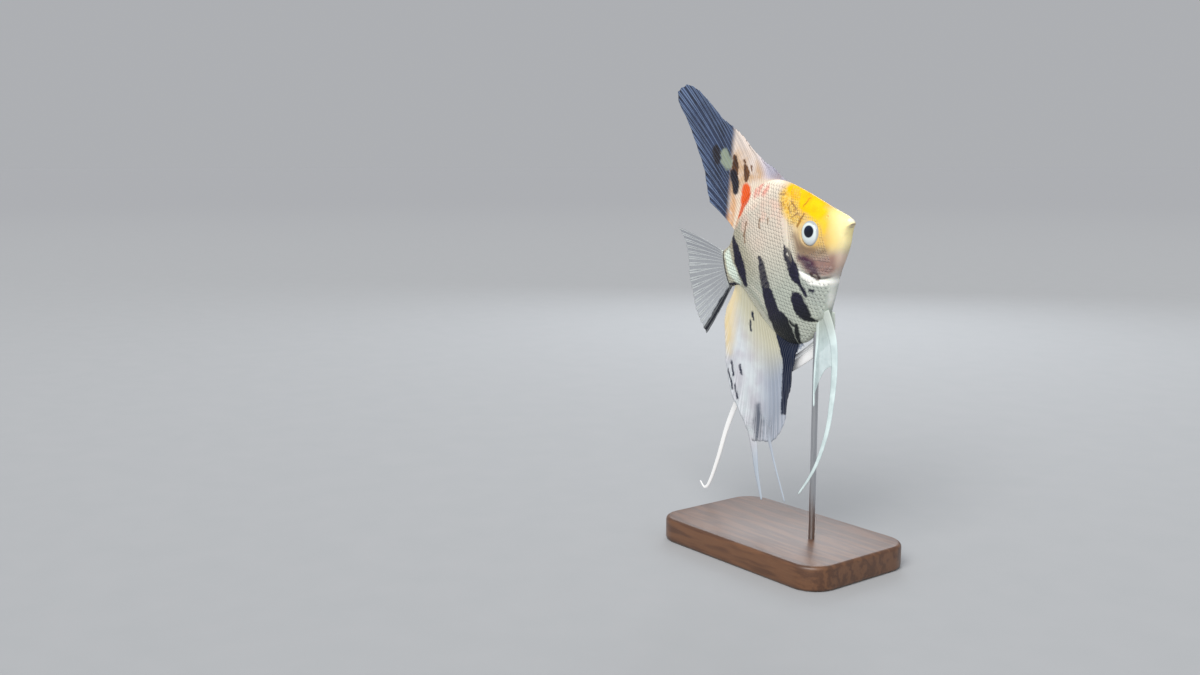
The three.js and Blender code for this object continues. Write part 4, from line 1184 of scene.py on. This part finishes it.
def wood_finish():
    m = Finish("stand walnut")
    place = m.vector("MULTIPLY", m.row_place(), (1 / MM, 1 / MM, 1 / MM))
    stretched = m.vector("MULTIPLY", place, (0.045, 0.35, 0.35))
    warp = m.noise(stretched, 1.0, 3.0)
    _, y, z = m.parts(place)
    rings = (y * 0.9 + z * 0.4 + warp * 16.0).sine()
    fibre = m.noise(m.vector("MULTIPLY", place, (0.12, 3.2, 3.2)), 1.0, 4.0, 0.65)
    colour = m.mix((80, 51, 33), (118, 80, 52), rings * 0.3 + fibre * 0.7)
    colour = m.mix(colour, (46, 29, 20), fibre.step(0.62, 0.8) * 0.35)
    return m.surface(base_color=colour, roughness=0.34 + 0.2 * fibre, coat_weight=0.25,
                     coat_roughness=0.25, normal=m.bump(fibre, 0.05))


def steel_finish():
    m = Finish("stand steel")
    brushed = m.noise(m.vector("MULTIPLY", m.row_place(), (4000, 4000, 160)), 1.0, 2.0)
    tone = m.mix((176, 178, 182), (206, 207, 210), brushed)
    return m.surface(base_color=tone, metallic=1.0, roughness=0.22 + 0.16 * brushed)


def ease_edges(piece, width, steps):
    """Rounds the edges of the active piece a little, and shades its round parts smoothly."""
    apply_modifier(piece, "BEVEL", width=width * MM, segments=steps, limit_method="ANGLE",
                   angle_limit=math.radians(40))
    bpy.ops.object.shade_smooth_by_angle(angle=math.radians(35))


def build_stand():
    """A wooden base with round corners, and the steel rod that stands in it."""
    start()
    bpy.ops.mesh.primitive_cube_add(size=1, location=(0, 0, 0))
    base = new_piece("stand_base_dressed")
    base.dimensions = (STAND_LENGTH * MM, STAND_WIDTH * MM, STAND_HEIGHT * MM)
    base.location = (0, 0, STAND_HEIGHT * MM / 2)
    bpy.ops.object.transform_apply(location=True, rotation=True, scale=True)
    bpy.ops.object.mode_set(mode="EDIT")
    bpy.ops.mesh.select_mode(type="EDGE")
    bpy.ops.mesh.select_all(action="DESELECT")
    bpy.ops.object.mode_set(mode="OBJECT")
    corners = vertex_places(base)
    for edge in base.data.edges:
        a, b = (corners[i] for i in edge.vertices)
        edge.select = abs(a[2] - b[2]) > STAND_HEIGHT * MM / 2
    bpy.ops.object.mode_set(mode="EDIT")
    bpy.ops.mesh.bevel(offset=STAND_CORNER * MM, segments=14, affect="EDGES")
    bpy.ops.object.mode_set(mode="OBJECT")
    ease_edges(base, STAND_EASE, 4)
    dress(base, wood_finish(), "stand_wood", "stand_base")
    start()
    bpy.ops.mesh.primitive_cylinder_add(vertices=48, radius=ROD_RADIUS * MM,
                                        depth=(ROD_TOP_Z - ROD_FOOT_Z) * MM,
                                        location=(ROD_X * MM, 0, (ROD_TOP_Z + ROD_FOOT_Z) / 2 * MM))
    rod = new_piece("stand_rod_dressed")
    bpy.ops.object.transform_apply(location=True, rotation=True, scale=True)
    ease_edges(rod, ROD_EASE, 2)
    dress(rod, steel_finish(), "stand_steel", "stand_rod")


# ---------------- room, light and camera

CAMERA_TARGET = (-8.02, 0.0, 86.47)
CAMERA_TURN, CAMERA_HEIGHT, CAMERA_AWAY = math.radians(45), math.radians(6), 400.0
SENSOR_WIDTH, LENS = 36.0, 36.0
TARGET_RIGHT, TARGET_UP = 0.13917, 0.03792
FLOOR_RADIUS, WALL_TONE = 40, (0.42, 0.43, 0.45, 1)
FLOOR_FADE = (0.5, 4.0)
SKY_HEADING, RIM_HEADING, RIM_PLACE = (-0.35, 0.62, -0.70), (0.45, -0.50, -0.32), (-0.45, 0.50, 0.40)


def place_camera():
    """The camera stays upright, with the target right of the middle and above it, as shares of the
    frame's width."""
    a, e = CAMERA_TURN, CAMERA_HEIGHT
    back = Vector((math.sin(a) * math.cos(e), -math.cos(a) * math.cos(e), math.sin(e)))
    ray = Vector((TARGET_RIGHT, TARGET_UP, -1))
    ray.normalize()
    to_target = -back
    pitch = math.asin(to_target.z / math.hypot(ray.y, ray.z)) - math.atan2(ray.y, -ray.z)
    ahead = -ray.y * math.sin(pitch) - ray.z * math.cos(pitch)
    heading = math.atan2(to_target.y, to_target.x) - math.atan2(ahead, ray.x)
    camera = bpy.data.objects.new("camera", bpy.data.cameras.new("camera"))
    bpy.context.scene.collection.objects.link(camera)
    camera.data.sensor_width, camera.data.lens = SENSOR_WIDTH, LENS
    camera.data.clip_start, camera.data.clip_end = 0.01, 100
    camera.location = (Vector(CAMERA_TARGET) + back * CAMERA_AWAY) * MM
    camera.rotation_euler = (math.pi / 2 + pitch, 0, heading)
    bpy.context.scene.camera = camera


def place_light(name, kind, heading, place=(0, 0, 0), **settings):
    """A light that shines along its heading."""
    lamp = bpy.data.lights.new(name, kind)
    for key, value in settings.items():
        setattr(lamp, key, value)
    holder = bpy.data.objects.new(name, lamp)
    bpy.context.scene.collection.objects.link(holder)
    holder.location = place
    holder.rotation_euler = Vector(heading).to_track_quat("-Z", "Y").to_euler()


def floor_finish():
    """A pale floor that fades into the wall's tone far away."""
    m = Finish("pale floor")
    speck = m.noise(m.row_place(), 60.0, 2.0)
    x, y, _ = m.parts(m.row_place())
    away = (x * x + y * y) ** 0.5
    near = m.mix((166, 169, 172), (171, 173, 176), speck)
    return m.surface(base_color=m.mix(near, (161, 163, 167), away.step(*FLOOR_FADE)), roughness=0.85)


def build_room():
    """A wide floor under soft light from all over, with a cooler light from behind."""
    start()
    bpy.ops.mesh.primitive_circle_add(vertices=96, radius=FLOOR_RADIUS, fill_type="NGON")
    floor = new_piece("floor")
    floor.data.materials.append(floor_finish())
    world = bpy.data.worlds.new("studio")
    bpy.context.scene.world = world
    world.use_nodes = True
    world.node_tree.nodes["Background"].inputs[0].default_value = WALL_TONE
    bpy.context.scene.view_settings.view_transform = "Standard"
    place_light("sky light", "SUN", SKY_HEADING, energy=3.15, angle=math.radians(45),
                color=(1.0, 0.98, 0.95))
    place_light("rim light", "AREA", RIM_HEADING, RIM_PLACE, energy=1.2, shape="DISK", size=0.4,
                color=(0.9, 0.95, 1.0))


# ---------------- the whole model

build_skin(skin_finish())
coat = scale_finish()
for side_name, side_sign in SIDES.items():
    build_scales(f"scale_coat_{side_name}", side_sign, coat)
    build_eye(f"eyeball_{side_name}", side_sign, eye_finish())
build_fins({
    "dorsal": membrane("dorsal membrane", dorsal_rule, (122, 142, 176), 0.74, 0.88),
    "anal": membrane("anal membrane", anal_rule, (240, 240, 246), 0.5, 0.85, fades=True),
    "caudal": membrane("caudal membrane", caudal_rule, (214, 219, 218), 0.2, 0.55),
    "clear": membrane("pectoral membrane", clear_rule, (190, 184, 172), 0.015, 0.05),
    "pale": membrane("pelvic membrane", pale_rule, (244, 247, 247), 0.6, 0.9, fades=True),
})
build_stand()
build_room()
place_camera()
